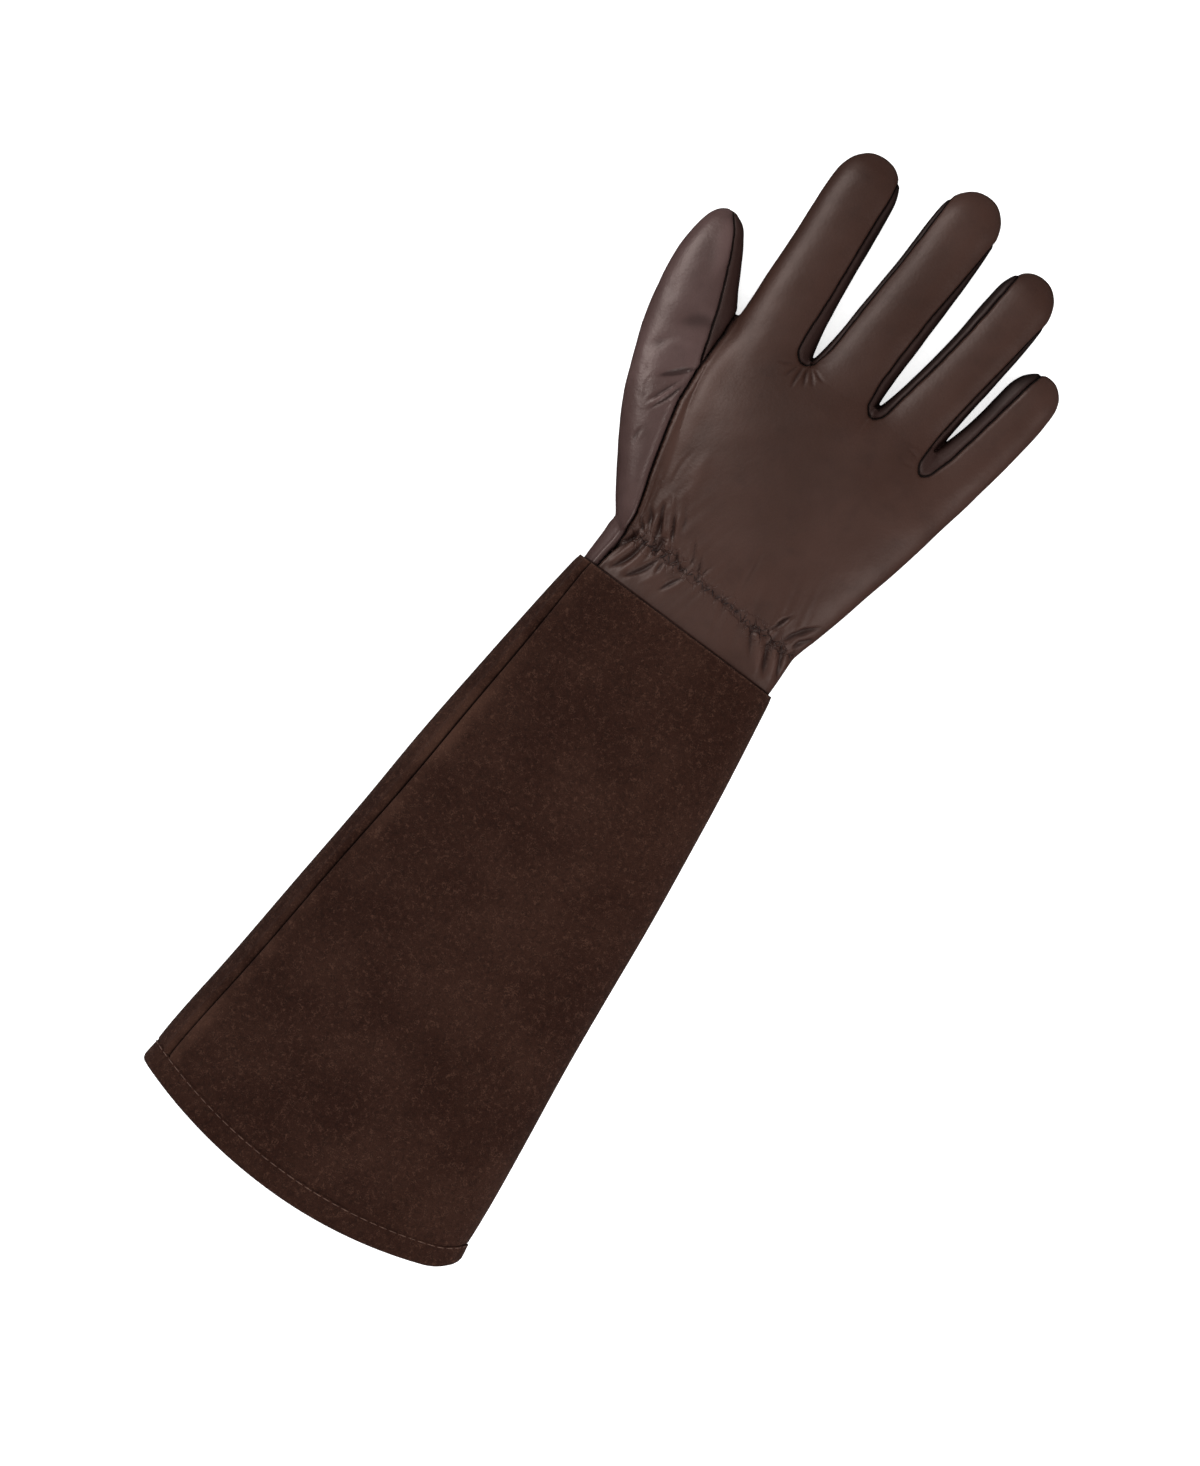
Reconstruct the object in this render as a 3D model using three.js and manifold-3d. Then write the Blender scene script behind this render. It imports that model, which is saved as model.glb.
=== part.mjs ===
// Rose pruning gauntlet: a right-hand leather glove with a long suede cuff, lying back of the hand up.
// Millimetres. X runs across the hand, Y along it towards the fingertips, Z up from the floor.
// Plan tables hold shares: across is a share of PALM_WIDTH and along a share of HAND_LENGTH.
import * as THREE from "three";
import { mergeVertices } from "three/examples/jsm/utils/BufferGeometryUtils.js";
import Module from "manifold-3d";

// Driving sizes of the hand
const HAND_LENGTH = 203;          // cuff's top edge to the middle fingertip
const PALM_WIDTH = 110;           // across the palm below the knuckles
const PALM_HEIGHT = 30;           // palm's thickest place, lying flat
const WRIST_HEIGHT = 24;          // at the gathered wrist
const FINGER_HEIGHT = 21;         // middle finger at its root
const THUMB_HEIGHT = 23;          // thumb at its root
const LEATHER = 1.6;              // wall of the hand
const GATHER_DEPTH = 1.2;         // highest ridge of the gathered wrist
const TUCK = 10;                  // length of the hand inside the cuff

// Driving sizes of the cuff
const CUFF_LENGTH = 263;          // top edge to the middle of the mouth edge
const CUFF_TOP_WIDTH = 91.3;
const CUFF_MOUTH_WIDTH = 143;     // over the binding
const CUFF_TOP_HEIGHT = 27;
const CUFF_MOUTH_HEIGHT = 40;     // over the binding
const MOUTH_BOW = 14;             // middle of the mouth edge beyond its corners
const TOP_TILT = 2.6;             // top edge's rise from the little finger's side to the thumb's
const SUEDE = 1.8;                // wall of the cuff
const BINDING = 1.0;              // thickness of the hem binding
const BINDING_WIDTH = 9.5;        // width of the hem binding seen from outside

// Seams
const SEAM_GAP = 0.3;             // clearance between neighbouring pieces
const SIDE_SEAM_HEIGHT = 9;       // back panel meets palm panel
const FOURCHETTE_LOW = 5;         // fourchette meets palm panel
const THUMB_SEAM_HEIGHT = 7;      // thumb's outer face meets its front

// Places worked out from the driving sizes
const CUFF_CENTRE = -0.011 * PALM_WIDTH;
const TOP_ROUNDNESS = 2.3;
const CUFF_ROUNDNESS = 2.6;
const UNDERSIDE_ROUNDNESS = 3.6;
const FAR = 3 * (HAND_LENGTH + CUFF_LENGTH);

// Palm sections from inside the cuff to the knuckles
const PALM = [
  { along: 0.074, left: -0.402, right: 0.384, height: 0.80, gather: 0.70, slant: 0 },
  { along: 0.099, left: -0.403, right: 0.393, height: 0.79, gather: 1.00, slant: 0 },
  { along: 0.128, left: -0.400, right: 0.409, height: 0.82, gather: 0.80, slant: 0 },
  { along: 0.172, left: -0.397, right: 0.431, height: 0.88, gather: 0.45, slant: 0 },
  { along: 0.236, left: -0.409, right: 0.461, height: 0.94, gather: 0.20, slant: 0 },
  { along: 0.315, left: -0.432, right: 0.497, height: 1.00, gather: 0.00, slant: 0 },
  { along: 0.394, left: -0.453, right: 0.530, height: 0.98, gather: 0.00, slant: 0.2 },
  { along: 0.463, left: -0.457, right: 0.554, height: 0.91, gather: 0.00, slant: 0.5 },
  { along: 0.512, left: -0.455, right: 0.569, height: 0.83, gather: 0.00, slant: 0.8 },
  { along: 0.537, left: -0.450, right: 0.571, height: 0.75, gather: 0.00, slant: 1.0 },
  { along: 0.552, left: -0.435, right: 0.555, height: 0.62, gather: 0.00, slant: 1.0 },
];
const KNUCKLE_SLANT = 0.030;

// Ridges of the gathered wrist, each with its place across, its strength and its width
const RIDGES = [
  { across: -0.345, strength: 1.00, width: 0.020 },
  { across: -0.285, strength: 0.95, width: 0.018 },
  { across: -0.225, strength: 0.90, width: 0.018 },
  { across: -0.175, strength: 0.75, width: 0.018 },
  { across: -0.105, strength: 0.40, width: 0.022 },
  { across: -0.020, strength: 0.35, width: 0.024 },
  { across: 0.070, strength: 0.35, width: 0.022 },
  { across: 0.160, strength: 0.40, width: 0.022 },
  { across: 0.240, strength: 0.60, width: 0.020 },
  { across: 0.310, strength: 0.65, width: 0.020 },
];

// Fingers: centre line at root, middle and tip, half width, and how much the root is wider
const FINGER_ROOT = 0.552;
const FINGER_START = 0.468;
const FINGERS = [
  { name: "index", root: -0.3055, middle: -0.338, tip: -0.3555, reach: 0.947, half: 0.1245, spread: 0.193 },
  { name: "middle", root: -0.020, middle: 0.0035, tip: 0.0136, reach: 1.000, half: 0.119, spread: 0.176 },
  { name: "ring", root: 0.245, middle: 0.3045, tip: 0.330, reach: 0.933, half: 0.1092, spread: 0.163 },
  { name: "little", root: 0.4745, middle: 0.523, tip: 0.5465, reach: 0.788, half: 0.099, spread: 0.119 },
];

// Fingertip: distance back from the tip and half size there, both as shares of the finger's half width
const TIP = [
  { back: 0.07, size: 0.30 },
  { back: 0.25, size: 0.58 },
  { back: 0.55, size: 0.81 },
  { back: 1.00, size: 0.95 },
  { back: 1.80, size: 1.00 },
];

// Thumb sections from its root in the palm to its tip
const THUMB = [
  { along: 0.095, left: -0.385, right: -0.300, height: 0.86 },
  { along: 0.143, left: -0.450, right: -0.300, height: 1.00 },
  { along: 0.197, left: -0.5145, right: -0.305, height: 1.05 },
  { along: 0.271, left: -0.5945, right: -0.318, height: 1.04 },
  { along: 0.345, left: -0.656, right: -0.345, height: 0.97 },
  { along: 0.419, left: -0.7045, right: -0.395, height: 0.88 },
  { along: 0.483, left: -0.737, right: -0.436, height: 0.83 },
  { along: 0.542, left: -0.7565, right: -0.461, height: 0.80 },
  { along: 0.591, left: -0.7635, right: -0.510, height: 0.77 },
  { along: 0.631, left: -0.760, right: -0.5495, height: 0.72 },
  { along: 0.665, left: -0.749, right: -0.588, height: 0.64 },
  { along: 0.690, left: -0.7265, right: -0.6235, height: 0.50 },
];
const THUMB_TIP = { across: -0.682, along: 0.703, height: 0.24 };

// Seams in plan
const BACK_LEFT_SEAM = [
  { across: -0.366, along: -0.080 },
  { across: -0.359, along: 0.017 },
  { across: -0.347, along: 0.060 },
  { across: -0.3455, along: 0.130 },
  { across: -0.368, along: 0.172 },
  { across: -0.3955, along: 0.222 },
  { across: -0.418, along: 0.271 },
  { across: -0.441, along: 0.320 },
  { across: -0.4545, along: 0.355 },
  { across: -0.4605, along: 0.420 },
];
const THUMB_CROTCH_LINE = [
  { across: -0.4605, along: 0.532 },
  { across: -0.482, along: 0.600 },
  { across: -0.530, along: 0.665 },
  { across: -0.580, along: 0.740 },
];
const THUMB_BASE_SEAM = [
  { across: -0.4605, along: 0.450 },
  { across: -0.420, along: 0.395 },
  { across: -0.366, along: 0.325 },
  { across: -0.327, along: 0.250 },
  { across: -0.320, along: 0.190 },
  { across: -0.343, along: 0.138 },
  { across: -0.390, along: 0.105 },
  { across: -0.455, along: 0.085 },
];
const THUMB_OWN_SEAM = [
  { across: -0.300, along: 0.395 },
  { across: -0.415, along: 0.412 },
  { across: -0.464, along: 0.428 },
  { across: -0.486, along: 0.468 },
  { across: -0.5135, along: 0.517 },
  { across: -0.541, along: 0.557 },
  { across: -0.568, along: 0.596 },
  { across: -0.600, along: 0.6355 },
  { across: -0.636, along: 0.675 },
  { across: -0.672, along: 0.697 },
  { across: -0.690, along: 0.740 },
];
const FOURCHETTES = [
  {
    name: "fourchette_index_middle",
    seam: [
      { across: -0.182, along: 0.539 },
      { across: -0.219, along: 0.556 },
      { across: -0.2235, along: 0.591 },
      { across: -0.230, along: 0.690 },
      { across: -0.2455, along: 0.788 },
      { across: -0.2545, along: 0.887 },
      { across: -0.268, along: 0.925 },
      { across: -0.222, along: 0.945 },
      { across: -0.155, along: 0.963 },
      { across: -0.090, along: 0.960 },
      { across: -0.0935, along: 0.915 },
      { across: -0.1055, along: 0.788 },
      { across: -0.119, along: 0.665 },
      { across: -0.130, along: 0.591 },
      { across: -0.150, along: 0.549 },
    ],
  },
  {
    name: "fourchette_middle_ring",
    seam: [
      { across: 0.123, along: 0.529 },
      { across: 0.091, along: 0.547 },
      { across: 0.0845, along: 0.591 },
      { across: 0.0865, along: 0.640 },
      { across: 0.0955, along: 0.739 },
      { across: 0.1115, along: 0.837 },
      { across: 0.1195, along: 0.887 },
      { across: 0.124, along: 0.938 },
      { across: 0.180, along: 0.938 },
      { across: 0.255, along: 0.918 },
      { across: 0.2505, along: 0.887 },
      { across: 0.2315, along: 0.788 },
      { across: 0.2045, along: 0.690 },
      { across: 0.168, along: 0.591 },
      { across: 0.1545, along: 0.547 },
    ],
  },
  {
    name: "fourchette_ring_little",
    seam: [
      { across: 0.373, along: 0.493 },
      { across: 0.350, along: 0.512 },
      { across: 0.3545, along: 0.581 },
      { across: 0.382, along: 0.680 },
      { across: 0.408, along: 0.773 },
      { across: 0.4275, along: 0.850 },
      { across: 0.437, along: 0.892 },
      { across: 0.460, along: 0.885 },
      { across: 0.480, along: 0.800 },
      { across: 0.521, along: 0.783 },
      { across: 0.503, along: 0.755 },
      { across: 0.4865, along: 0.704 },
      { across: 0.450, along: 0.606 },
      { across: 0.4315, along: 0.557 },
      { across: 0.4035, along: 0.507 },
    ],
  },
];

// Cuff sections from the mouth to the top edge: spread between top and mouth width, rise between the heights
const CUFF = [
  { along: 0.000, spread: 1.000, rise: 1.00 },
  { along: 0.046, spread: 0.985, rise: 0.98 },
  { along: 0.090, spread: 0.955, rise: 0.95 },
  { along: 0.200, spread: 0.850, rise: 0.86 },
  { along: 0.350, spread: 0.705, rise: 0.72 },
  { along: 0.500, spread: 0.570, rise: 0.57 },
  { along: 0.650, spread: 0.440, rise: 0.42 },
  { along: 0.800, spread: 0.275, rise: 0.26 },
  { along: 0.900, spread: 0.140, rise: 0.12 },
  { along: 1.000, spread: 0.000, rise: 0.00 },
];
const CUFF_SEAM = [
  { along: -0.10, side: 0.905 },
  { along: 0.08, side: 0.900 },
  { along: 0.40, side: 0.878 },
  { along: 0.64, side: 0.856 },
  { along: 0.80, side: 0.858 },
  { along: 1.10, side: 0.895 },
];

// Facets
const PALM_FACETS = { top: 32, under: 10 };
const PALM_INNER_FACETS = { top: 14, under: 8 };
const FINGER_FACETS = { top: 12, under: 8 };
const FINGER_INNER_FACETS = { top: 8, under: 6 };
const THUMB_FACETS = { top: 14, under: 8 };
const THUMB_INNER_FACETS = { top: 10, under: 6 };
const CUFF_FACETS = { top: 24, under: 12 };

const wasm = await Module();
wasm.setup();

function mix(a, b, t) {
  return a + (b - a) * t;
}

// Value of a column at a place along a table whose rows run upwards, smooth between rows
function lookUp(rows, key, column, place) {
  if (place <= rows[0][key]) {
    return rows[0][column];
  }
  for (let i = 1; i < rows.length; i += 1) {
    if (place <= rows[i][key]) {
      const t = (place - rows[i - 1][key]) / (rows[i][key] - rows[i - 1][key]);
      return mix(rows[i - 1][column], rows[i][column], t);
    }
  }
  return rows[rows.length - 1][column];
}

// One closed section: angles run over the top from +X to -X, then back underneath
function sectionAngles(facets) {
  const angles = [];
  for (let i = 0; i < facets.top; i += 1) {
    angles.push((Math.PI * i) / facets.top);
  }
  for (let i = 0; i < facets.under; i += 1) {
    angles.push(Math.PI + (Math.PI * i) / facets.under);
  }
  return angles;
}

// Point of a section with a domed top and a flat underside
function sectionPoint(size, angle) {
  const side = Math.cos(angle);
  const up = Math.sin(angle);
  const power = up >= 0 ? 2 / size.roundness : 2 / UNDERSIDE_ROUNDNESS;
  const x = size.centre + size.half * Math.sign(side) * Math.abs(side) ** power;
  const waist = mix(size.bottom, size.top, 0.46);
  const rise = Math.abs(up) ** power;
  const z = up >= 0
    ? waist + (size.top - waist) * rise
    : Math.max(waist - (waist - size.bottom) * rise * 1.08, size.bottom);
  return { x, z };
}

// Closed skin over rings of equal point counts, with a fan over each end
function skin(rings, startPoint, endPoint) {
  const positions = [];
  const index = [];
  const count = rings[0].length;
  rings.forEach((ring) => ring.forEach((p) => positions.push(p.x, p.y, p.z)));
  for (let r = 0; r + 1 < rings.length; r += 1) {
    for (let i = 0; i < count; i += 1) {
      const j = (i + 1) % count;
      const a = r * count + i;
      const b = r * count + j;
      const c = a + count;
      const d = b + count;
      index.push(a, b, d, a, d, c);
    }
  }
  const centreOf = (ring) => {
    const sum = new THREE.Vector3();
    ring.forEach((p) => sum.add(new THREE.Vector3(p.x, p.y, p.z)));
    return sum.divideScalar(ring.length);
  };
  const fan = (ring, first, point, flip) => {
    const centre = point || centreOf(ring);
    const hub = positions.length / 3;
    positions.push(centre.x, centre.y, centre.z);
    for (let i = 0; i < count; i += 1) {
      const a = first + i;
      const b = first + ((i + 1) % count);
      index.push(...(flip ? [hub, b, a] : [hub, a, b]));
    }
  };
  fan(rings[0], 0, startPoint, true);
  fan(rings[rings.length - 1], (rings.length - 1) * count, endPoint, false);
  const geometry = new THREE.BufferGeometry();
  geometry.setAttribute("position", new THREE.Float32BufferAttribute(positions, 3));
  geometry.setIndex(index);
  return faceOutward(geometry);
}

function faceOutward(geometry) {
  const p = geometry.getAttribute("position");
  const order = geometry.getIndex();
  const a = new THREE.Vector3();
  const b = new THREE.Vector3();
  const c = new THREE.Vector3();
  let volume = 0;
  for (let i = 0; i < order.count; i += 3) {
    a.fromBufferAttribute(p, order.getX(i));
    b.fromBufferAttribute(p, order.getX(i + 1));
    c.fromBufferAttribute(p, order.getX(i + 2));
    volume += a.dot(b.cross(c));
  }
  if (volume < 0) {
    for (let i = 0; i < order.count; i += 3) {
      const keep = order.getX(i + 1);
      order.setX(i + 1, order.getX(i + 2));
      order.setX(i + 2, keep);
    }
  }
  return geometry;
}

function toSolid(geometry) {
  const plain = geometry.clone();
  plain.deleteAttribute("normal");
  plain.deleteAttribute("uv");
  const merged = mergeVertices(plain, 1e-4);
  return new wasm.Manifold(new wasm.Mesh({
    numProp: 3,
    vertProperties: new Float32Array(merged.getAttribute("position").array),
    triVerts: new Uint32Array(merged.getIndex().array),
  }));
}

function toGeometry(solid) {
  const mesh = solid.getMesh();
  const geometry = new THREE.BufferGeometry();
  geometry.setAttribute("position", new THREE.Float32BufferAttribute(mesh.vertProperties, 3));
  geometry.setIndex(new THREE.Uint32BufferAttribute(mesh.triVerts, 1));
  return geometry;
}

// Upright prism over a plan outline, between two heights
function prism(outline, low, high) {
  const shape = new THREE.Shape(outline.map((p) => new THREE.Vector2(p.x, p.y)));
  const geometry = new THREE.ExtrudeGeometry(shape, { depth: high - low, bevelEnabled: false });
  geometry.translate(0, 0, low);
  return toSolid(geometry);
}

// Plan outline moved outward by a distance
function grow(outline, distance) {
  const turn = Math.sign(THREE.ShapeUtils.area(outline));
  const count = outline.length;
  return outline.map((p, i) => {
    const before = outline[(i + count - 1) % count];
    const after = outline[(i + 1) % count];
    const first = new THREE.Vector2(p.x - before.x, p.y - before.y).normalize();
    const second = new THREE.Vector2(after.x - p.x, after.y - p.y).normalize();
    const n1 = new THREE.Vector2(first.y, -first.x).multiplyScalar(turn);
    const n2 = new THREE.Vector2(second.y, -second.x).multiplyScalar(turn);
    const bisector = n1.clone().add(n2).normalize();
    const reach = distance / Math.max(bisector.dot(n1), 0.35);
    return new THREE.Vector2(p.x + bisector.x * reach, p.y + bisector.y * reach);
  });
}

const planPoint = (row) => new THREE.Vector2(row.across * PALM_WIDTH, row.along * HAND_LENGTH);

// Cuff: half width, heights and edges at a share of the way from mouth to top edge
function cuffHalf(share) {
  const overSheet = CUFF_MOUTH_WIDTH - 2 * (BINDING + SEAM_GAP);
  return mix(CUFF_TOP_WIDTH, overSheet, lookUp(CUFF, "along", "spread", share)) / 2;
}

function cuffTop(share) {
  const overSheet = CUFF_MOUTH_HEIGHT - (BINDING + SEAM_GAP);
  return mix(CUFF_TOP_HEIGHT, overSheet, lookUp(CUFF, "along", "rise", share));
}

function cuffBottom(share) {
  const hem = CUFF[1].along;
  const flat = CUFF[2].along;
  const raised = BINDING + SEAM_GAP;
  return share <= hem ? raised : raised * Math.max(0, (flat - share) / (flat - hem));
}

function topEdge(x) {
  return 0.3 * TOP_TILT - (TOP_TILT * (x - CUFF_CENTRE)) / CUFF_TOP_WIDTH;
}

function mouthEdge(x) {
  const side = (2 * (x - CUFF_CENTRE)) / CUFF_MOUTH_WIDTH;
  return -CUFF_LENGTH + BINDING + SEAM_GAP + MOUTH_BOW * side * side;
}

// Point of the cuff's sheet: share from the mouth to the top, distance out from the outer face
function cuffPoint(angle, share, out, beyond) {
  const size = {
    centre: CUFF_CENTRE,
    half: cuffHalf(share) + out,
    bottom: cuffBottom(share) - out,
    top: cuffTop(share) + out,
    roundness: CUFF_ROUNDNESS,
  };
  const { x, z } = sectionPoint(size, angle);
  const y = mix(mouthEdge(x), topEdge(x), share) - beyond;
  return new THREE.Vector3(x, y, z);
}

function buildCuff() {
  const angles = sectionAngles(CUFF_FACETS);
  const ring = (share, out, beyond) => angles.map((a) => cuffPoint(a, share, out, beyond));
  const outer = toSolid(skin(CUFF.map((row) => ring(row.along, 0, 0))));
  const innerRings = [
    ring(0, -SUEDE, SUEDE),
    ...CUFF.slice(1, -1).map((row) => ring(row.along, -SUEDE, 0)),
    ring(1, -SUEDE, -SUEDE),
  ];
  const sheet = outer.subtract(toSolid(skin(innerRings)));
  const line = CUFF_SEAM.map((row) => {
    const x = CUFF_CENTRE - cuffHalf(row.along) * row.side;
    return new THREE.Vector2(x, mix(-CUFF_LENGTH, 0, row.along));
  });
  const slit = 0.75 * SEAM_GAP;
  const outline = [
    ...line.map((p) => new THREE.Vector2(p.x - slit, p.y)),
    ...line.slice().reverse().map((p) => new THREE.Vector2(p.x + slit, p.y)),
  ];
  return sheet.subtract(prism(outline, 0.4 * CUFF_TOP_HEIGHT, FAR));
}

function buildBinding() {
  const angles = sectionAngles(CUFF_FACETS);
  const near = SEAM_GAP;
  const far = SEAM_GAP + BINDING;
  const tall = (BINDING_WIDTH - far) / CUFF_LENGTH;
  const profile = [
    { share: tall, out: far, beyond: 0 },
    { share: 0, out: far, beyond: far },
    { share: 0, out: -SUEDE - far, beyond: far },
    { share: tall, out: -SUEDE - far, beyond: 0 },
    { share: tall, out: -SUEDE - near, beyond: 0 },
    { share: 0, out: -SUEDE - near, beyond: near },
    { share: 0, out: near, beyond: near },
    { share: tall, out: near, beyond: 0 },
  ];
  const positions = [];
  const index = [];
  angles.forEach((angle) => {
    profile.forEach((corner) => {
      const p = cuffPoint(angle, corner.share, corner.out, corner.beyond);
      positions.push(p.x, p.y, p.z);
    });
  });
  const count = profile.length;
  for (let r = 0; r < angles.length; r += 1) {
    const next = (r + 1) % angles.length;
    for (let i = 0; i < count; i += 1) {
      const j = (i + 1) % count;
      const a = r * count + i;
      const b = r * count + j;
      const c = next * count + i;
      const d = next * count + j;
      index.push(a, b, d, a, d, c);
    }
  }
  const geometry = new THREE.BufferGeometry();
  geometry.setAttribute("position", new THREE.Float32BufferAttribute(positions, 3));
  geometry.setIndex(index);
  return toSolid(faceOutward(geometry));
}

// Hand: the ridges rise from the wrist's top, and the hollow keeps clear of them
function ridgeRise(x, gather) {
  const across = x / PALM_WIDTH;
  const rise = RIDGES.map((r) => r.strength * Math.exp(-(((across - r.across) / r.width) ** 2)));
  return GATHER_DEPTH * gather * Math.max(...rise);
}

function palmRing(row, wall, facets) {
  const left = row.left * PALM_WIDTH + wall;
  const right = row.right * PALM_WIDTH - wall;
  const size = {
    centre: (left + right) / 2,
    half: (right - left) / 2,
    bottom: row.bottom + wall,
    top: row.top - wall,
    roundness: TOP_ROUNDNESS,
  };
  return sectionAngles(facets).map((angle) => {
    const { x, z } = sectionPoint(size, angle);
    const lift = wall > 0 || angle >= Math.PI ? 0 : ridgeRise(x, row.gather) * Math.sin(angle) ** 0.5;
    const slanted = row.slant * KNUCKLE_SLANT * Math.max(0, x);
    return new THREE.Vector3(x, row.y - slanted, z + lift);
  });
}

// Rows of the palm with their real heights, the first ones inside the cuff
function palmRows() {
  const clear = SUEDE + SEAM_GAP;
  const inside = {
    left: (CUFF_CENTRE - cuffHalf(1) + clear) / PALM_WIDTH,
    right: (CUFF_CENTRE + cuffHalf(1) - clear) / PALM_WIDTH,
    top: CUFF_TOP_HEIGHT - clear,
    bottom: clear,
    slant: 0,
  };
  const lead = PALM[0].along * HAND_LENGTH;
  const rows = [
    { ...inside, y: -TUCK, gather: 0 },
    { ...inside, y: 0.5 * TOP_TILT + SEAM_GAP, gather: 0 },
    { ...inside, y: 0.55 * lead, gather: 0.45, bottom: 0.5 * clear, top: mix(inside.top, WRIST_HEIGHT, 0.6) },
  ];
  PALM.forEach((row) => {
    const y = row.along * HAND_LENGTH;
    const crown = mix(WRIST_HEIGHT, PALM_HEIGHT, (row.height - 0.8) / 0.2);
    const falling = row.along > 0.35;
    const top = falling ? PALM_HEIGHT * row.height : crown;
    rows.push({ ...row, y, top, bottom: 0 });
  });
  rows[rows.length - 1].bottom = 2 * SEAM_GAP;
  return rows;
}

function buildPalmForm(wall) {
  const rows = palmRows();
  if (wall > 0) {
    rows[0].y -= wall;
    rows[rows.length - 1].y -= wall;
    rows[rows.length - 2].y -= 0.5 * wall;
  }
  const facets = wall > 0 ? PALM_INNER_FACETS : PALM_FACETS;
  return toSolid(skin(rows.map((row) => palmRing(row, wall, facets))));
}

function buildFinger(finger, wall) {
  const half = finger.half * PALM_WIDTH;
  const height = FINGER_HEIGHT * Math.sqrt(finger.half / FINGERS[1].half);
  const rootY = FINGER_ROOT * HAND_LENGTH;
  const tipY = finger.reach * HAND_LENGTH;
  const middleY = (rootY + tipY) / 2;
  const domeY = tipY - TIP[TIP.length - 1].back * half;
  // Centre line through root, middle and tip
  const centre = (y) => {
    const a = ((y - middleY) * (y - tipY)) / ((rootY - middleY) * (rootY - tipY));
    const b = ((y - rootY) * (y - tipY)) / ((middleY - rootY) * (middleY - tipY));
    const c = ((y - rootY) * (y - middleY)) / ((tipY - rootY) * (tipY - middleY));
    return PALM_WIDTH * (a * finger.root + b * finger.middle + c * finger.tip);
  };
  const facets = wall > 0 ? FINGER_INNER_FACETS : FINGER_FACETS;
  const ring = (y, size, wide, tall) => {
    const waist = 0.46 * tall;
    const section = {
      centre: centre(y),
      half: wide * size - wall,
      bottom: waist - (waist - wall) * size,
      top: waist + (tall - waist - wall) * size,
      roundness: TOP_ROUNDNESS,
    };
    const back = size < 1 ? wall : 0;
    return sectionAngles(facets).map((angle) => {
      const { x, z } = sectionPoint(section, angle);
      return new THREE.Vector3(x, y - back, z);
    });
  };
  const rings = [];
  const startY = FINGER_START * HAND_LENGTH;
  const stations = wall > 0 ? [-1, 0, 0.5] : [-1, 0, 0.33, 0.67];
  stations.forEach((t) => {
    const y = t < 0 ? startY : mix(rootY, domeY, t);
    const open = t < 0 ? 0.8 : (1 - t) * (1 - t);
    rings.push(ring(y, 1, half * (1 + finger.spread * open), height * mix(1.06, 0.86, Math.max(t, 0))));
  });
  const blunt = height * 0.86;
  const dome = wall > 0 ? TIP.filter((row, i) => i !== 1 && i !== 3) : TIP;
  dome.slice().reverse().forEach((row) => {
    rings.push(ring(tipY - row.back * half, row.size, half, blunt));
  });
  const tip = new THREE.Vector3(centre(tipY), tipY - wall, 0.46 * blunt);
  return toSolid(skin(rings, null, tip));
}

function buildThumb(wall) {
  const facets = wall > 0 ? THUMB_INNER_FACETS : THUMB_FACETS;
  const rings = THUMB.map((row, i) => {
    const nearTip = i >= THUMB.length - 3;
    const left = row.left * PALM_WIDTH + wall;
    const right = row.right * PALM_WIDTH - wall;
    const tall = row.height * THUMB_HEIGHT;
    const lift = Math.max(0, THUMB_TIP.height * THUMB_HEIGHT - 0.46 * tall);
    const size = {
      centre: (left + right) / 2,
      half: (right - left) / 2,
      bottom: lift + wall,
      top: lift + tall - wall,
      roundness: TOP_ROUNDNESS,
    };
    return sectionAngles(facets).map((angle) => {
      const { x, z } = sectionPoint(size, angle);
      return new THREE.Vector3(x, row.along * HAND_LENGTH - (nearTip ? wall * 0.7 : 0), z);
    });
  });
  const tip = planPoint(THUMB_TIP);
  const lift = THUMB_TIP.height * THUMB_HEIGHT;
  return toSolid(skin(rings, null, new THREE.Vector3(tip.x, tip.y - 1.6 * wall, lift + 0.08 * THUMB_HEIGHT)));
}

function buildHandForm(wall) {
  const fingers = FINGERS.map((finger) => buildFinger(finger, wall));
  return fingers.reduce((form, finger) => form.add(finger), buildPalmForm(wall).add(buildThumb(wall)));
}

// Largest body of a cut piece; crumbs of leather left where two seams cross are dropped
function largest(solid) {
  const bodies = solid.decompose();
  return bodies.reduce((best, body) => (body.volume() > best.volume() ? body : best));
}

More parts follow.
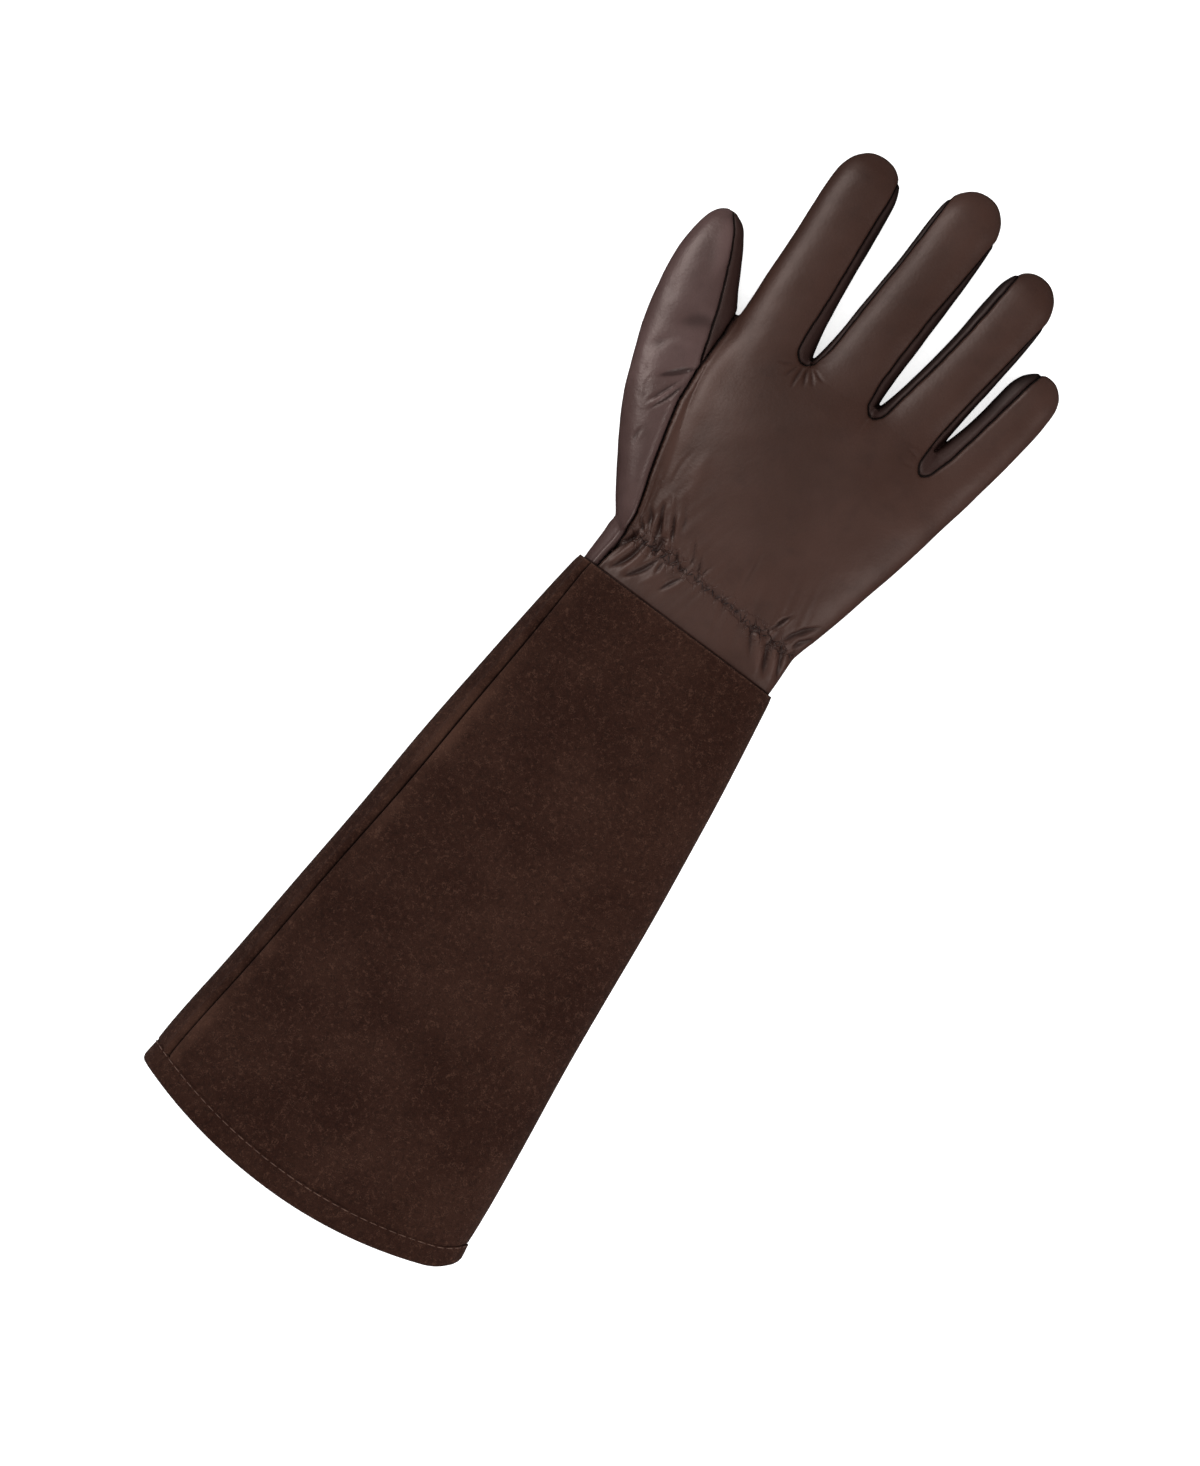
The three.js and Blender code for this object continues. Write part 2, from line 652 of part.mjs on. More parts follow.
function cutHand() {
  const shell = buildHandForm(0).subtract(buildHandForm(LEATHER));
  const half = SEAM_GAP / 2;
  const gone = -FAR;
  const thumbOutline = (seam) => [
    ...seam.map(planPoint),
    ...THUMB_CROTCH_LINE.map(planPoint),
    new THREE.Vector2(-1.2 * PALM_WIDTH, THUMB_CROTCH_LINE[3].along * HAND_LENGTH),
    new THREE.Vector2(-1.2 * PALM_WIDTH, planPoint(seam[0]).y),
  ];
  const overOutline = thumbOutline(BACK_LEFT_SEAM);
  const underOutline = thumbOutline(THUMB_BASE_SEAM.slice().reverse());
  const facing = [
    new THREE.Vector2(-1.2 * PALM_WIDTH, -FAR),
    new THREE.Vector2(THUMB_OWN_SEAM[0].across * PALM_WIDTH, -FAR),
    ...THUMB_OWN_SEAM.map(planPoint),
    new THREE.Vector2(-1.2 * PALM_WIDTH, THUMB_OWN_SEAM[10].along * HAND_LENGTH),
  ];
  const slab = (low, high) => prism([
    new THREE.Vector2(-FAR, -FAR),
    new THREE.Vector2(FAR, -FAR),
    new THREE.Vector2(FAR, FAR),
    new THREE.Vector2(-FAR, FAR),
  ], low, high);
  const thumbCut = (move) => prism(grow(underOutline, move), gone, SIDE_SEAM_HEIGHT + half)
    .add(prism(grow(overOutline, move), SIDE_SEAM_HEIGHT + half - 1e-3, FAR));
  const gussetOutlines = FOURCHETTES.map((row) => row.seam.map(planPoint));
  const gussetCut = (move) => gussetOutlines
    .map((outline) => prism(grow(outline, move), FOURCHETTE_LOW - move, FAR))
    .reduce((all, one) => all.add(one));
  const thumb = shell.intersect(thumbCut(-half));
  const hand = shell.subtract(thumbCut(half));
  const pieces = {
    back_panel: hand.intersect(slab(SIDE_SEAM_HEIGHT + half, FAR)).subtract(gussetCut(half)),
    palm_panel: hand.intersect(slab(gone, SIDE_SEAM_HEIGHT - half)).subtract(gussetCut(half)),
    thumb_back: thumb.intersect(prism(grow(facing, -half), THUMB_SEAM_HEIGHT + half, FAR)),
    thumb_front: thumb.subtract(prism(grow(facing, half), THUMB_SEAM_HEIGHT - half, FAR)),
  };
  FOURCHETTES.forEach((row, i) => {
    pieces[row.name] = shell.intersect(prism(grow(gussetOutlines[i], -half), FOURCHETTE_LOW + half, FAR));
  });
  return pieces;
}

const pieces = { ...cutHand(), cuff_panel: buildCuff(), hem_binding: buildBinding() };

const leather = new THREE.MeshStandardMaterial({ name: "smooth_leather", color: 0x46322b, roughness: 0.5, metalness: 0 });
const suede = new THREE.MeshStandardMaterial({ name: "suede", color: 0x32221b, roughness: 0.95, metalness: 0 });
const suedePieces = ["cuff_panel", "hem_binding"];

const group = new THREE.Group();
group.name = "rose_pruning_gauntlet";
Object.entries(pieces).forEach(([name, solid]) => {
  const mesh = new THREE.Mesh(toGeometry(largest(solid)), suedePieces.includes(name) ? suede : leather);
  mesh.name = name;
  group.add(mesh);
});

// The frame's origin is the middle of the part's footprint, on the floor
const box = new THREE.Box3().setFromObject(group);
const middle = box.getCenter(new THREE.Vector3());
group.children.forEach((mesh) => mesh.geometry.translate(-middle.x, -middle.y, -box.min.z));

export default group;
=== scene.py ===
"""Looks of a rose pruning gauntlet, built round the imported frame.

Plan measures are in millimetres, as on the drawing of the glove: X across the hand, Y along it from the
cuff's top edge, Z up from the floor. Finished meshes are in metres in the frame's own place.
"""

import logging
import math
from dataclasses import dataclass
from enum import Enum
from typing import Callable, Iterable, Sequence

import bmesh
import bpy
import numpy as np
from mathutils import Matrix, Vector
from mathutils.bvhtree import BVHTree
from mathutils.kdtree import KDTree

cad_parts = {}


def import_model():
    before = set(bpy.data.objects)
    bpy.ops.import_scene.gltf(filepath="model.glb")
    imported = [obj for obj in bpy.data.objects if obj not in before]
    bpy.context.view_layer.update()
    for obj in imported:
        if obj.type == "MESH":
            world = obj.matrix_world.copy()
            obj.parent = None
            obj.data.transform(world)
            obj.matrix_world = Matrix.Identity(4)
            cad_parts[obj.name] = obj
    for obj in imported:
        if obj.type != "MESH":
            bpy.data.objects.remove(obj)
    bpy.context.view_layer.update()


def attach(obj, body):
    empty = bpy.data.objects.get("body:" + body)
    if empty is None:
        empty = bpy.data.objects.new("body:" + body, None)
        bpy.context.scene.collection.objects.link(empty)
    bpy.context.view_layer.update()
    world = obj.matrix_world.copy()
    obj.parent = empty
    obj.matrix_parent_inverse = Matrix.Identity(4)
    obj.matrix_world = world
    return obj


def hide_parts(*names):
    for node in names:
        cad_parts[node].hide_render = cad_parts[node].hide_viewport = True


LOG = logging.getLogger("gauntlet")
Points = np.ndarray
Numbers = float | np.ndarray

# The plan's origin in the frame, in millimetres, and one millimetre in metres
PLAN_TO_FRAME = np.array([6.845, 30.0, 0.0])
MILLIMETRE = 0.001

# Every section: height of its widest place as a share, squareness and flatness of its underside
WAIST_SHARE = 0.46
UNDER_ROUNDNESS = 3.6
UNDER_FLATNESS = 1.08


class Panel(Enum):
    """Sheets of leather that make the hand, by the node each stands for."""

    BACK = "back_panel"
    PALM = "palm_panel"
    THUMB_BACK = "thumb_back"
    THUMB_FRONT = "thumb_front"
    GAP_INDEX_MIDDLE = "fourchette_index_middle"
    GAP_MIDDLE_RING = "fourchette_middle_ring"
    GAP_RING_LITTLE = "fourchette_ring_little"


PANELS = list(Panel)
CUT_AWAY = len(PANELS)


# Small tools for curves, noise and meshes
def blend(a: Numbers, b: Numbers, t: Numbers) -> Numbers:
    """Value between a and b at share t."""
    return a + (b - a) * t


def ramp(values: Numbers, start: float, width: float) -> Numbers:
    """0 up to start, then straight up to 1 over the width; a negative width runs the other way."""
    return np.clip((values - start) / width, 0, 1)


def bell(values: Numbers, centre: float, width: float) -> Numbers:
    """1 at the centre, fading smoothly on both sides."""
    return np.exp(-(((values - centre) / width) ** 2))


def smooth_column(keys: Sequence[float], values: Sequence[float], places: Points) -> Points:
    """Reads a column of a table between its rows on a smooth curve that never overshoots.

    Args:
        keys: rising places of the rows.
        values: the column.
        places: where to read it.

    Returns:
        One value for each place.
    """
    x = np.asarray(keys, float)
    y = np.asarray(values, float)
    steps = np.diff(x)
    slopes = np.diff(y) / steps
    tangents = np.zeros_like(y)
    tangents[0], tangents[-1] = slopes[0], slopes[-1]
    for i in range(1, len(x) - 1):
        if slopes[i - 1] * slopes[i] > 0:
            w1 = 2 * steps[i] + steps[i - 1]
            w2 = steps[i] + 2 * steps[i - 1]
            tangents[i] = (w1 + w2) / (w1 / slopes[i - 1] + w2 / slopes[i])
    p = np.clip(np.asarray(places, float), x[0], x[-1])
    i = np.clip(np.searchsorted(x, p, side="right") - 1, 0, len(x) - 2)
    t = (p - x[i]) / steps[i]
    h00 = (1 + 2 * t) * (1 - t) ** 2
    h10 = t * (1 - t) ** 2
    h01 = t * t * (3 - 2 * t)
    h11 = t * t * (t - 1)
    return h00 * y[i] + h10 * steps[i] * tangents[i] + h01 * y[i + 1] + h11 * steps[i] * tangents[i + 1]


def read_rows(rows: Sequence, names: Sequence[str], places: Points) -> list[Points]:
    """Reads columns of a table of sections on smooth curves.

    Args:
        rows: the sections, each with its place "along".
        names: the columns wanted.
        places: where to read them.

    Returns:
        One array for each column.
    """
    keys = [row.along for row in rows]
    return [smooth_column(keys, [getattr(row, name) for row in rows], places) for name in names]


def waves(points: Points, size: float, seed: int, count: int = 7) -> Points:
    """Soft random undulation between about -1 and 1.

    Args:
        points: places, one row each.
        size: wavelength in millimetres.
        seed: which undulation.
        count: how many waves are added.

    Returns:
        One value for each point.
    """
    rng = np.random.default_rng(seed)
    total = np.zeros(len(points))
    for _ in range(count):
        way = rng.normal(size=3)
        way /= np.linalg.norm(way)
        length = size * rng.uniform(0.7, 1.5)
        total += np.sin(points @ way * (2 * math.pi / length) + rng.uniform(0, 2 * math.pi))
    return total / math.sqrt(count * 0.5) * 0.6


def through(corners: Sequence[tuple[float, float]], steps: int = 8) -> Points:
    """Smooth line through plan points, ends kept.

    Args:
        corners: the plan points.
        steps: how many short lengths lie between two of them.

    Returns:
        Points along the line.
    """
    p = np.asarray(corners, float)
    length = np.concatenate([[0], np.cumsum(np.linalg.norm(np.diff(p, axis=0), axis=1))])
    places = np.linspace(0, length[-1], steps * (len(p) - 1) + 1)
    padded = np.vstack([2 * p[0] - p[1], p, 2 * p[-1] - p[-2]])
    i = np.clip(np.searchsorted(length, places, side="right") - 1, 0, len(p) - 2)
    t = ((places - length[i]) / (length[i + 1] - length[i]))[:, None]
    a, b, c, d = padded[i], padded[i + 1], padded[i + 2], padded[i + 3]
    return 0.5 * (2 * b + (c - a) * t + (2 * a - 5 * b + 4 * c - d) * t**2 + (3 * b - a - 3 * c + d) * t**3)


def inside(outline: Points, x: Points, y: Points) -> Points:
    """Which plan points lie inside a closed outline.

    Args:
        outline: its corners in order.
        x: places across.
        y: places along.

    Returns:
        True for each point inside.
    """
    hit = np.zeros(len(x), bool)
    for (x0, y0), (x1, y1) in zip(outline, np.roll(outline, -1, axis=0)):
        crosses = (y0 > y) != (y1 > y)
        if y0 != y1:
            hit ^= crosses & (x < (x1 - x0) * (y - y0) / (y1 - y0) + x0)
    return hit


def relax(points: Points, edges: Points, rounds: int, weight: float = 0.5,
          free: Points | None = None) -> Points:
    """Evens a net by moving each point towards the middle of its neighbours.

    Args:
        points: places of the net's points.
        edges: pairs of neighbours.
        rounds: how often it moves.
        weight: share of the way that it moves.
        free: which points may move, all if left out.

    Returns:
        The moved places.
    """
    count = np.bincount(edges.ravel(), minlength=len(points)).astype(float)
    first = np.concatenate([edges[:, 0], edges[:, 1]])
    second = np.concatenate([edges[:, 1], edges[:, 0]])
    moved = points.copy()
    near = np.maximum(count, 1)[:, None]
    able = (count > 0) if free is None else (free & (count > 0))
    for _ in range(rounds):
        total = np.stack([np.bincount(first, moved[second, k], len(points)) for k in range(3)], axis=1)
        step = weight * (total / near - moved)
        moved[able] += step[able]
    return moved


def distance_to(spots: Iterable, points: Points) -> Points:
    """How far each point is from the nearest of some spots.

    Args:
        spots: places to measure from.
        points: places to measure to.

    Returns:
        One distance for each point.
    """
    known = [Vector(spot) for spot in spots]
    finder = KDTree(len(known))
    for k, spot in enumerate(known):
        finder.insert(spot, k)
    finder.balance()
    return np.array([finder.find(Vector(point))[2] for point in points])


def section_point(centre: Numbers, half: Points, bottom: Points, top: Points, roundness: float,
                  angle: Points) -> tuple[Points, Points]:
    """Points of a section with a domed top and a flat underside.

    Args:
        centre: middle of the section across.
        half: half of its width.
        bottom: height of its underside.
        top: height of its crown.
        roundness: 2 for an ellipse, more for a squarer dome.
        angle: place round the section, from +X over the top.

    Returns:
        Places across and heights.
    """
    side, up = np.cos(angle), np.sin(angle)
    power = np.where(up >= 0, 2 / roundness, 2 / UNDER_ROUNDNESS)
    x = centre + half * np.sign(side) * np.abs(side) ** power
    waist = bottom + (top - bottom) * WAIST_SHARE
    rise = np.abs(up) ** power
    under = np.maximum(waist - (waist - bottom) * rise * UNDER_FLATNESS, bottom)
    return x, np.where(up >= 0, waist + (top - waist) * rise, under)


def tube(bm: bmesh.types.BMesh, around: int, along: int, place: Callable[[Points, Points], Points],
         close: bool = True) -> None:
    """Adds a sheet shaped from a grid and, if asked, joins its sides and caps its ends.

    Args:
        bm: the mesh that is added to.
        around: facets round it.
        along: facets along it.
        place: gives points for shares round and along.
        close: whether it becomes a closed tube.
    """
    made = bmesh.ops.create_grid(bm, x_segments=around, y_segments=along, size=0.5)
    verts = made["verts"]
    u = np.array([v.co.x for v in verts]) + 0.5
    w = np.array([v.co.y for v in verts]) + 0.5
    for vert, point in zip(verts, place(u, w)):
        vert.co = point
    if not close:
        return
    bmesh.ops.remove_doubles(bm, verts=verts, dist=1e-4)
    live = [v for v in verts if v.is_valid]
    rims = list({e for v in live for e in v.link_edges if e.is_boundary})
    bmesh.ops.holes_fill(bm, edges=rims, sides=0)


def finished(bm: bmesh.types.BMesh, name: str) -> bpy.types.Mesh:
    """Ends a bmesh as a mesh with smooth faces.

    Args:
        bm: what was modelled; it is freed.
        name: name of the mesh.

    Returns:
        The mesh.
    """
    for face in bm.faces:
        face.smooth = True
    mesh = bpy.data.meshes.new(name)
    bm.to_mesh(mesh)
    bm.free()
    return mesh


def new_object(name: str, mesh: bpy.types.Mesh) -> bpy.types.Object:
    """Links a mesh into the scene.

    Args:
        name: name of the piece.
        mesh: its mesh.

    Returns:
        The piece.
    """
    piece = bpy.data.objects.new(name, mesh)
    bpy.context.scene.collection.objects.link(piece)
    return piece


def read_numbers(items: Sequence, name: str, each: int, columns: int, kind: type = float) -> Points:
    """Reads numbers that a mesh keeps.

    Args:
        items: its vertices, edges, loops or normals.
        name: which of their numbers.
        each: how many numbers one item has.
        columns: how many of them make a row.
        kind: whole numbers or not.

    Returns:
        The numbers in rows.
    """
    flat = np.empty(len(items) * each, kind)
    items.foreach_get(name, flat)
    return flat.reshape(-1, columns)


def mesh_points(mesh: bpy.types.Mesh) -> Points:
    """Places of a mesh's vertices."""
    return read_numbers(mesh.vertices, "co", 3, 3)


def set_points(mesh: bpy.types.Mesh, points: Points) -> None:
    """Moves a mesh's vertices."""
    mesh.vertices.foreach_set("co", np.ascontiguousarray(points, np.float32).ravel())
    mesh.update()


def to_frame(mesh: bpy.types.Mesh) -> None:
    """Takes a mesh from plan millimetres to the frame's metres."""
    set_points(mesh, (mesh_points(mesh) + PLAN_TO_FRAME) * MILLIMETRE)


def on_rim(mesh: bpy.types.Mesh) -> Points:
    """Which vertices of a mesh lie on an edge that belongs to one face only.

    Args:
        mesh: the open sheet.

    Returns:
        True for each vertex on the rim.
    """
    bm = bmesh.new()
    bm.from_mesh(mesh)
    rim = np.array([any(edge.is_boundary for edge in vert.link_edges) for vert in bm.verts])
    bm.free()
    return rim


def add_value(mesh: bpy.types.Mesh, name: str, values: Points) -> None:
    """Keeps one number for each vertex for the materials."""
    layer = mesh.attributes.new(name, "FLOAT", "POINT")
    layer.data.foreach_set("value", np.ascontiguousarray(values, np.float32))


def thicken(piece: bpy.types.Object, wall: float) -> None:
    """Gives a sheet its wall, inwards.

    Args:
        piece: the sheet, its faces pointing out.
        wall: thickness in millimetres.
    """
    solid = piece.modifiers.new("wall", "SOLIDIFY")
    solid.thickness = wall * MILLIMETRE
    solid.offset = -1.0
    solid.use_even_offset = False
    solid.use_rim = True


# Materials
class Field:
    """A node's output with the sums that the finishes use."""

    def __init__(self, paint: "Paint", socket: bpy.types.NodeSocket | None) -> None:
        """Wraps one output of a finish's nodes.

        Args:
            paint: the maker of the nodes.
            socket: the output.
        """
        self.paint = paint
        self.socket = socket

    def _sum(self, operation: str, *values: "Field | float") -> "Field":
        """Adds one Math node."""
        return self.paint.node("ShaderNodeMath", {"operation": operation}, dict(enumerate(values)))

    def __add__(self, other: "Field | float") -> "Field":
        """Sum."""
        return self._sum("ADD", self, other)

    __radd__ = __add__

    def __sub__(self, other: "Field | float") -> "Field":
        """Difference."""
        return self._sum("SUBTRACT", self, other)

    def __rsub__(self, other: float) -> "Field":
        """Difference from a number."""
        return self._sum("SUBTRACT", other, self)

    def __mul__(self, other: "Field | float") -> "Field":
        """Product."""
        return self._sum("MULTIPLY", self, other)

    __rmul__ = __mul__

    def between(self, low: float, high: float) -> "Field":
        """0 below low, 1 above high, smooth between."""
        settings = {"interpolation_type": "SMOOTHSTEP"}
        return self.paint.node("ShaderNodeMapRange", settings, {0: self, 1: low, 2: high, 3: 0.0, 4: 1.0})


class Paint:
    """One material and the maker of its nodes."""

    def __init__(self, name: str) -> None:
        """Starts an empty material.

        Args:
            name: name of the material.
        """
        self.material = bpy.data.materials.new(name)
        self.material.use_nodes = True
        self.tree = self.material.node_tree
        self.tree.nodes.clear()

    def node(self, kind: str, settings: dict | None = None, inputs: dict | None = None,
             output: int | str = 0) -> Field:
        """Makes one node.

        Args:
            kind: the node's type.
            settings: its own settings, set first.
            inputs: values or fields by socket.
            output: which output is wanted.

        Returns:
            The wanted output.
        """
        made = self.tree.nodes.new(kind)
        for key, value in (settings or {}).items():
            setattr(made, key, value)
        for key, value in (inputs or {}).items():
            if isinstance(value, Field):
                self.tree.links.new(value.socket, made.inputs[key])
            else:
                made.inputs[key].default_value = value
        return Field(self, made.outputs[output] if len(made.outputs) else None)

    def place(self) -> Field:
        """Object coordinates, in metres."""
        return self.node("ShaderNodeTexCoord", output="Object")

    def height(self) -> Field:
        """Height above the floor, in metres."""
        return self.node("ShaderNodeSeparateXYZ", {}, {0: self.place()}, "Z")

    def value(self, name: str) -> Field:
        """A number that the mesh keeps for each vertex."""
        return self.node("ShaderNodeAttribute", {"attribute_name": name}, output="Fac")

    def noise(self, scale: float, detail: float = 3.0, rough: float = 0.55, warp: float = 0.0) -> Field:
        """Cloudy pattern between 0 and 1.

        Args:
            scale: its repeats per metre.
            detail: how many finer layers it has.
            rough: how strong they are.
            warp: how far it is pulled about.

        Returns:
            The pattern.
        """
        inputs = {"Vector": self.place(), "Scale": scale, "Detail": detail, "Roughness": rough,
                  "Distortion": warp}
        return self.node("ShaderNodeTexNoise", {}, inputs)

    def bent_place(self, scale: float, shift: float) -> Field:
        """Object coordinates pushed about by a cloudy pattern.

        Args:
            scale: the pattern's repeats per metre.
            shift: how far it pushes, in millimetres.

        Returns:
            The coordinates.
        """
        inputs = {"Vector": self.place(), "Scale": scale, "Detail": 2.0}
        cloud = self.node("ShaderNodeTexNoise", {}, inputs, "Color")
        far = shift * MILLIMETRE
        return self.node("ShaderNodeVectorMath", {"operation": "MULTIPLY_ADD"},
                         {0: cloud, 1: (far, far, far), 2: self.place()})

    def cells(self, scale: float) -> Field:
        """Distance from the middles of small cells."""
        return self.node("ShaderNodeTexVoronoi", {"feature": "F1"}, {"Vector": self.place(), "Scale": scale},
                         "Distance")

    def cell_edges(self, scale: float, where: Field) -> Field:
        """Distance from the edges of cells, laid out on the given coordinates."""
        return self.node("ShaderNodeTexVoronoi", {"feature": "DISTANCE_TO_EDGE"},
                         {"Vector": where, "Scale": scale}, "Distance")

    def mix(self, share: "Field | float", first: "Field | tuple", second: "Field | tuple") -> Field:
        """Colour between two colours."""
        return self.node("ShaderNodeMix", {"data_type": "RGBA"}, {0: share, 6: first, 7: second}, 2)

    def bump(self, height: Field, depth: float, strength: float = 1.0, under: Field | None = None) -> Field:
        """Fine relief.

        Args:
            height: its pattern.
            depth: its depth in millimetres.
            strength: share of it that shows.
            under: relief that it lies on.

        Returns:
            The surface's direction.
        """
        inputs = {"Strength": strength, "Distance": depth * MILLIMETRE, "Height": height}
        if under is not None:
            inputs["Normal"] = under
        return self.node("ShaderNodeBump", {}, inputs)

    def surface(self, **inputs: "Field | float | tuple") -> bpy.types.Material:
        """Ends the material in one shader.

        Args:
            inputs: the shader's sockets, with _ for a space.

        Returns:
            The material.
        """
        named = {key.replace("_", " "): value for key, value in inputs.items()}
        shader = self.node("ShaderNodeBsdfPrincipled", {}, named)
        self.node("ShaderNodeOutputMaterial", {}, {"Surface": shader})
        return self.material


def tone(red: float, green: float, blue: float) -> tuple[float, float, float, float]:
    """Turns a colour read off a picture into the shader's own scale.

    Args:
        red: red, 0 to 255.
        green: green, 0 to 255.
        blue: blue, 0 to 255.

    Returns:
        The colour, opaque.
    """
    def linear(level: float) -> float:
        """One channel."""
        c = level / 255
        return c / 12.92 if c <= 0.04045 else ((c + 0.055) / 1.055) ** 2.4

    return linear(red), linear(green), linear(blue), 1.0


@dataclass(frozen=True)
class SmoothLeather:
    """Glove leather: fine grain, soft gloss, dark in the seams, with painted shade in its creases and a
    painted highlight on the ridges of its folds.

    Scales are repeats per metre. Depths are millimetres.
    """

    name: str = "smooth_leather"
    body: tuple = tone(51, 30, 23)
    # Paler tone of random worn patches, also used as the painted highlight on the folds' ridges
    worn_and_highlight: tuple = tone(68, 45, 38)
    # Dark of the seams and of random streaks, also used as painted shade in creases, cracks and low places
    deep: tuple = tone(26, 11, 10)
    gloss: float = 0.49
    # Share of painted shade towards the floor
    shade_below: float = 0.0
    shine_tint: tuple = tone(255, 241, 234)
    cloud_scale: float = 22.0
    shine_scale: float = 60.0
    streak_scale: float = 120.0
    crease_scale: float = 210.0
    crack_scale: float = 250.0
    crumple_scale: float = 300.0
    bend_scale: float = 420.0
    grain_scale: float = 780.0
    pore_scale: float = 1500.0
    bend: float = 2.4
    grain_depth: float = 0.07
    crease_depth: float = 0.25
    seam_depth: float = 0.5
    crumple_depth: float = 0.6
    crack_depth: float = 0.6

    def make(self) -> bpy.types.Material:
        """Builds the material.

        Returns:
            The material.
        """
        paint = Paint(self.name)
        fold = paint.value("fold")
        away = paint.value("seam")
        seam_and_cuff_shadow = 1.0 - away.between(0.1, 0.6)
        cracks = paint.cell_edges(self.crack_scale, paint.bent_place(self.bend_scale, self.bend))
        crack = (1.0 - cracks.between(0.02, 0.10)) * paint.value("pucker")

        cloud = paint.noise(self.cloud_scale, 3.0)
        streak = paint.noise(self.streak_scale, 4.0, 0.6)
        body = paint.mix(cloud.between(0.3, 0.75), self.body, self.worn_and_highlight)
        body = paint.mix(0.55, self.body, body)
        body = paint.mix(streak.between(0.45, 0.8) * 0.18, body, self.deep)
        # Painted highlight: the ridges of the folds are made paler, as if lit
        body = paint.mix(fold.between(0.05, 0.8) * 0.6, body, self.worn_and_highlight)
        # Painted shade: the creases of the folds are made darker
        body = paint.mix((fold * -1.0).between(0.12, 0.85) * 0.58, body, self.deep)
        # Dark seam lines; along the cuff's top edge the same darkening is a painted shadow of the cuff
        body = paint.mix(seam_and_cuff_shadow * 0.88, body, self.deep)
        # Painted shade: the lower the leather, below 17.5 mm, the darker it is made
        if self.shade_below:
            low = 1.0 - paint.height().between(0.0085, 0.0175)
            body = paint.mix(low * self.shade_below, body, self.deep)
        # Painted shade: the fine cracks of the puckered leather at the elastic are darkened
        body = paint.mix(crack * 0.7, body, self.deep)

        creases = paint.noise(self.crease_scale, 4.0, 0.62, 0.4)
        crumple = paint.noise(self.crumple_scale, 3.0, 0.55, 0.9) * paint.value("crumple")
        grain = paint.cells(self.grain_scale) + paint.noise(self.pore_scale, 2.0) * 0.5
        relief = paint.bump(creases, self.crease_depth, 0.5)
        relief = paint.bump(crumple, self.crumple_depth, 0.8, relief)
        relief = paint.bump(crack * -1.0, self.crack_depth, 0.9, relief)
        relief = paint.bump(grain, self.grain_depth, 0.5, relief)
        relief = paint.bump(away.between(0.0, 0.8), self.seam_depth, 0.9, relief)

        rough = self.gloss + (paint.noise(self.shine_scale, 3.0) - 0.5) * 0.14 + seam_and_cuff_shadow * 0.3
        return paint.surface(Base_Color=body, Roughness=rough, Normal=relief, IOR=1.45,
                             Specular_IOR_Level=0.38, Specular_Tint=self.shine_tint)


@dataclass(frozen=True)
class Suede:
    """Split leather with a matte nap, mottled and flecked with paler fibres, with painted shade along its
    top edge and a painted sheen beside its closing seam.

    Scales are repeats per metre. Depths are millimetres.
    """

    name: str = "suede"
    body: tuple = tone(35, 17, 11)
    # Paler fibres, also used as the painted sheen beside the closing seam
    pale: tuple = tone(92, 64, 52)
    # Dark of the mottling and the seam, also used as painted shade along the top edge
    deep: tuple = tone(15, 6, 4)
    raw: tuple = tone(84, 60, 50)
    sheen: tuple = tone(170, 128, 110)
    cloud_scale: float = 28.0
    tuft_scale: float = 430.0
    curl_scale: float = 560.0
    mottle_scale: float = 640.0
    fibre_scale: float = 900.0
    mottle_depth: float = 0.45
    fibre_depth: float = 0.25
    curl_depth: float = 0.2

    def make(self) -> bpy.types.Material:
        """Builds the material.

        Returns:
            The material.
        """
        paint = Paint(self.name)
        seam = paint.value("seam")
        edge = paint.value("edge")
        cloud = paint.noise(self.cloud_scale, 4.0, 0.6)
        mottle = paint.noise(self.mottle_scale, 3.0, 0.62, 0.8)
        fibre = paint.noise(self.fibre_scale, 4.0, 0.7, 3.4)
        level = paint.noise(self.curl_scale, 1.0, 0.5, 1.6) - 0.5
        tuft = paint.noise(self.tuft_scale, 1.0).between(0.47, 0.6)
        curl = (1.0 - (level * level).between(0.0004, 0.0030)) * tuft

        body = paint.mix(cloud.between(0.35, 0.7) * 0.10, self.body, self.pale)
        body = paint.mix(mottle.between(0.46, 0.66) * 0.38, body, self.deep)
        body = paint.mix(fibre.between(0.53, 0.66) * 0.23, body, self.pale)
        body = paint.mix(curl * 0.26, body, self.pale)
        fringe = (1.0 - edge.between(0.3, 1.3)) * fibre.between(0.48, 0.62)
        body = paint.mix(fringe * 0.75, body, self.raw)
        # Painted shade: a dark line along the very top edge, where the cuff's rim meets the leather
        body = paint.mix((1.0 - edge.between(0.02, 0.35)) * 0.85, body, self.deep)
        # Painted sheen: the nap beside the closing seam is made paler, as if catching the light
        painted_seam_sheen = (1.0 - seam.between(0.8, 7.0)) * cloud.between(0.3, 0.7)
        body = paint.mix(painted_seam_sheen * 0.3, body, self.pale)
        body = paint.mix((1.0 - seam.between(0.8, 1.8)) * 0.93, body, self.deep)

        nap = paint.bump(mottle, self.mottle_depth, 0.7)
        nap = paint.bump(fibre, self.fibre_depth, 0.8, nap)
        nap = paint.bump(curl, self.curl_depth, 0.6, nap)
        rough = 0.9 + (fibre - 0.5) * 0.1
        return paint.surface(Base_Color=body, Roughness=rough, Normal=nap, IOR=1.4, Specular_IOR_Level=0.10,
                             Sheen_Weight=0.03, Sheen_Roughness=0.5, Sheen_Tint=self.sheen)


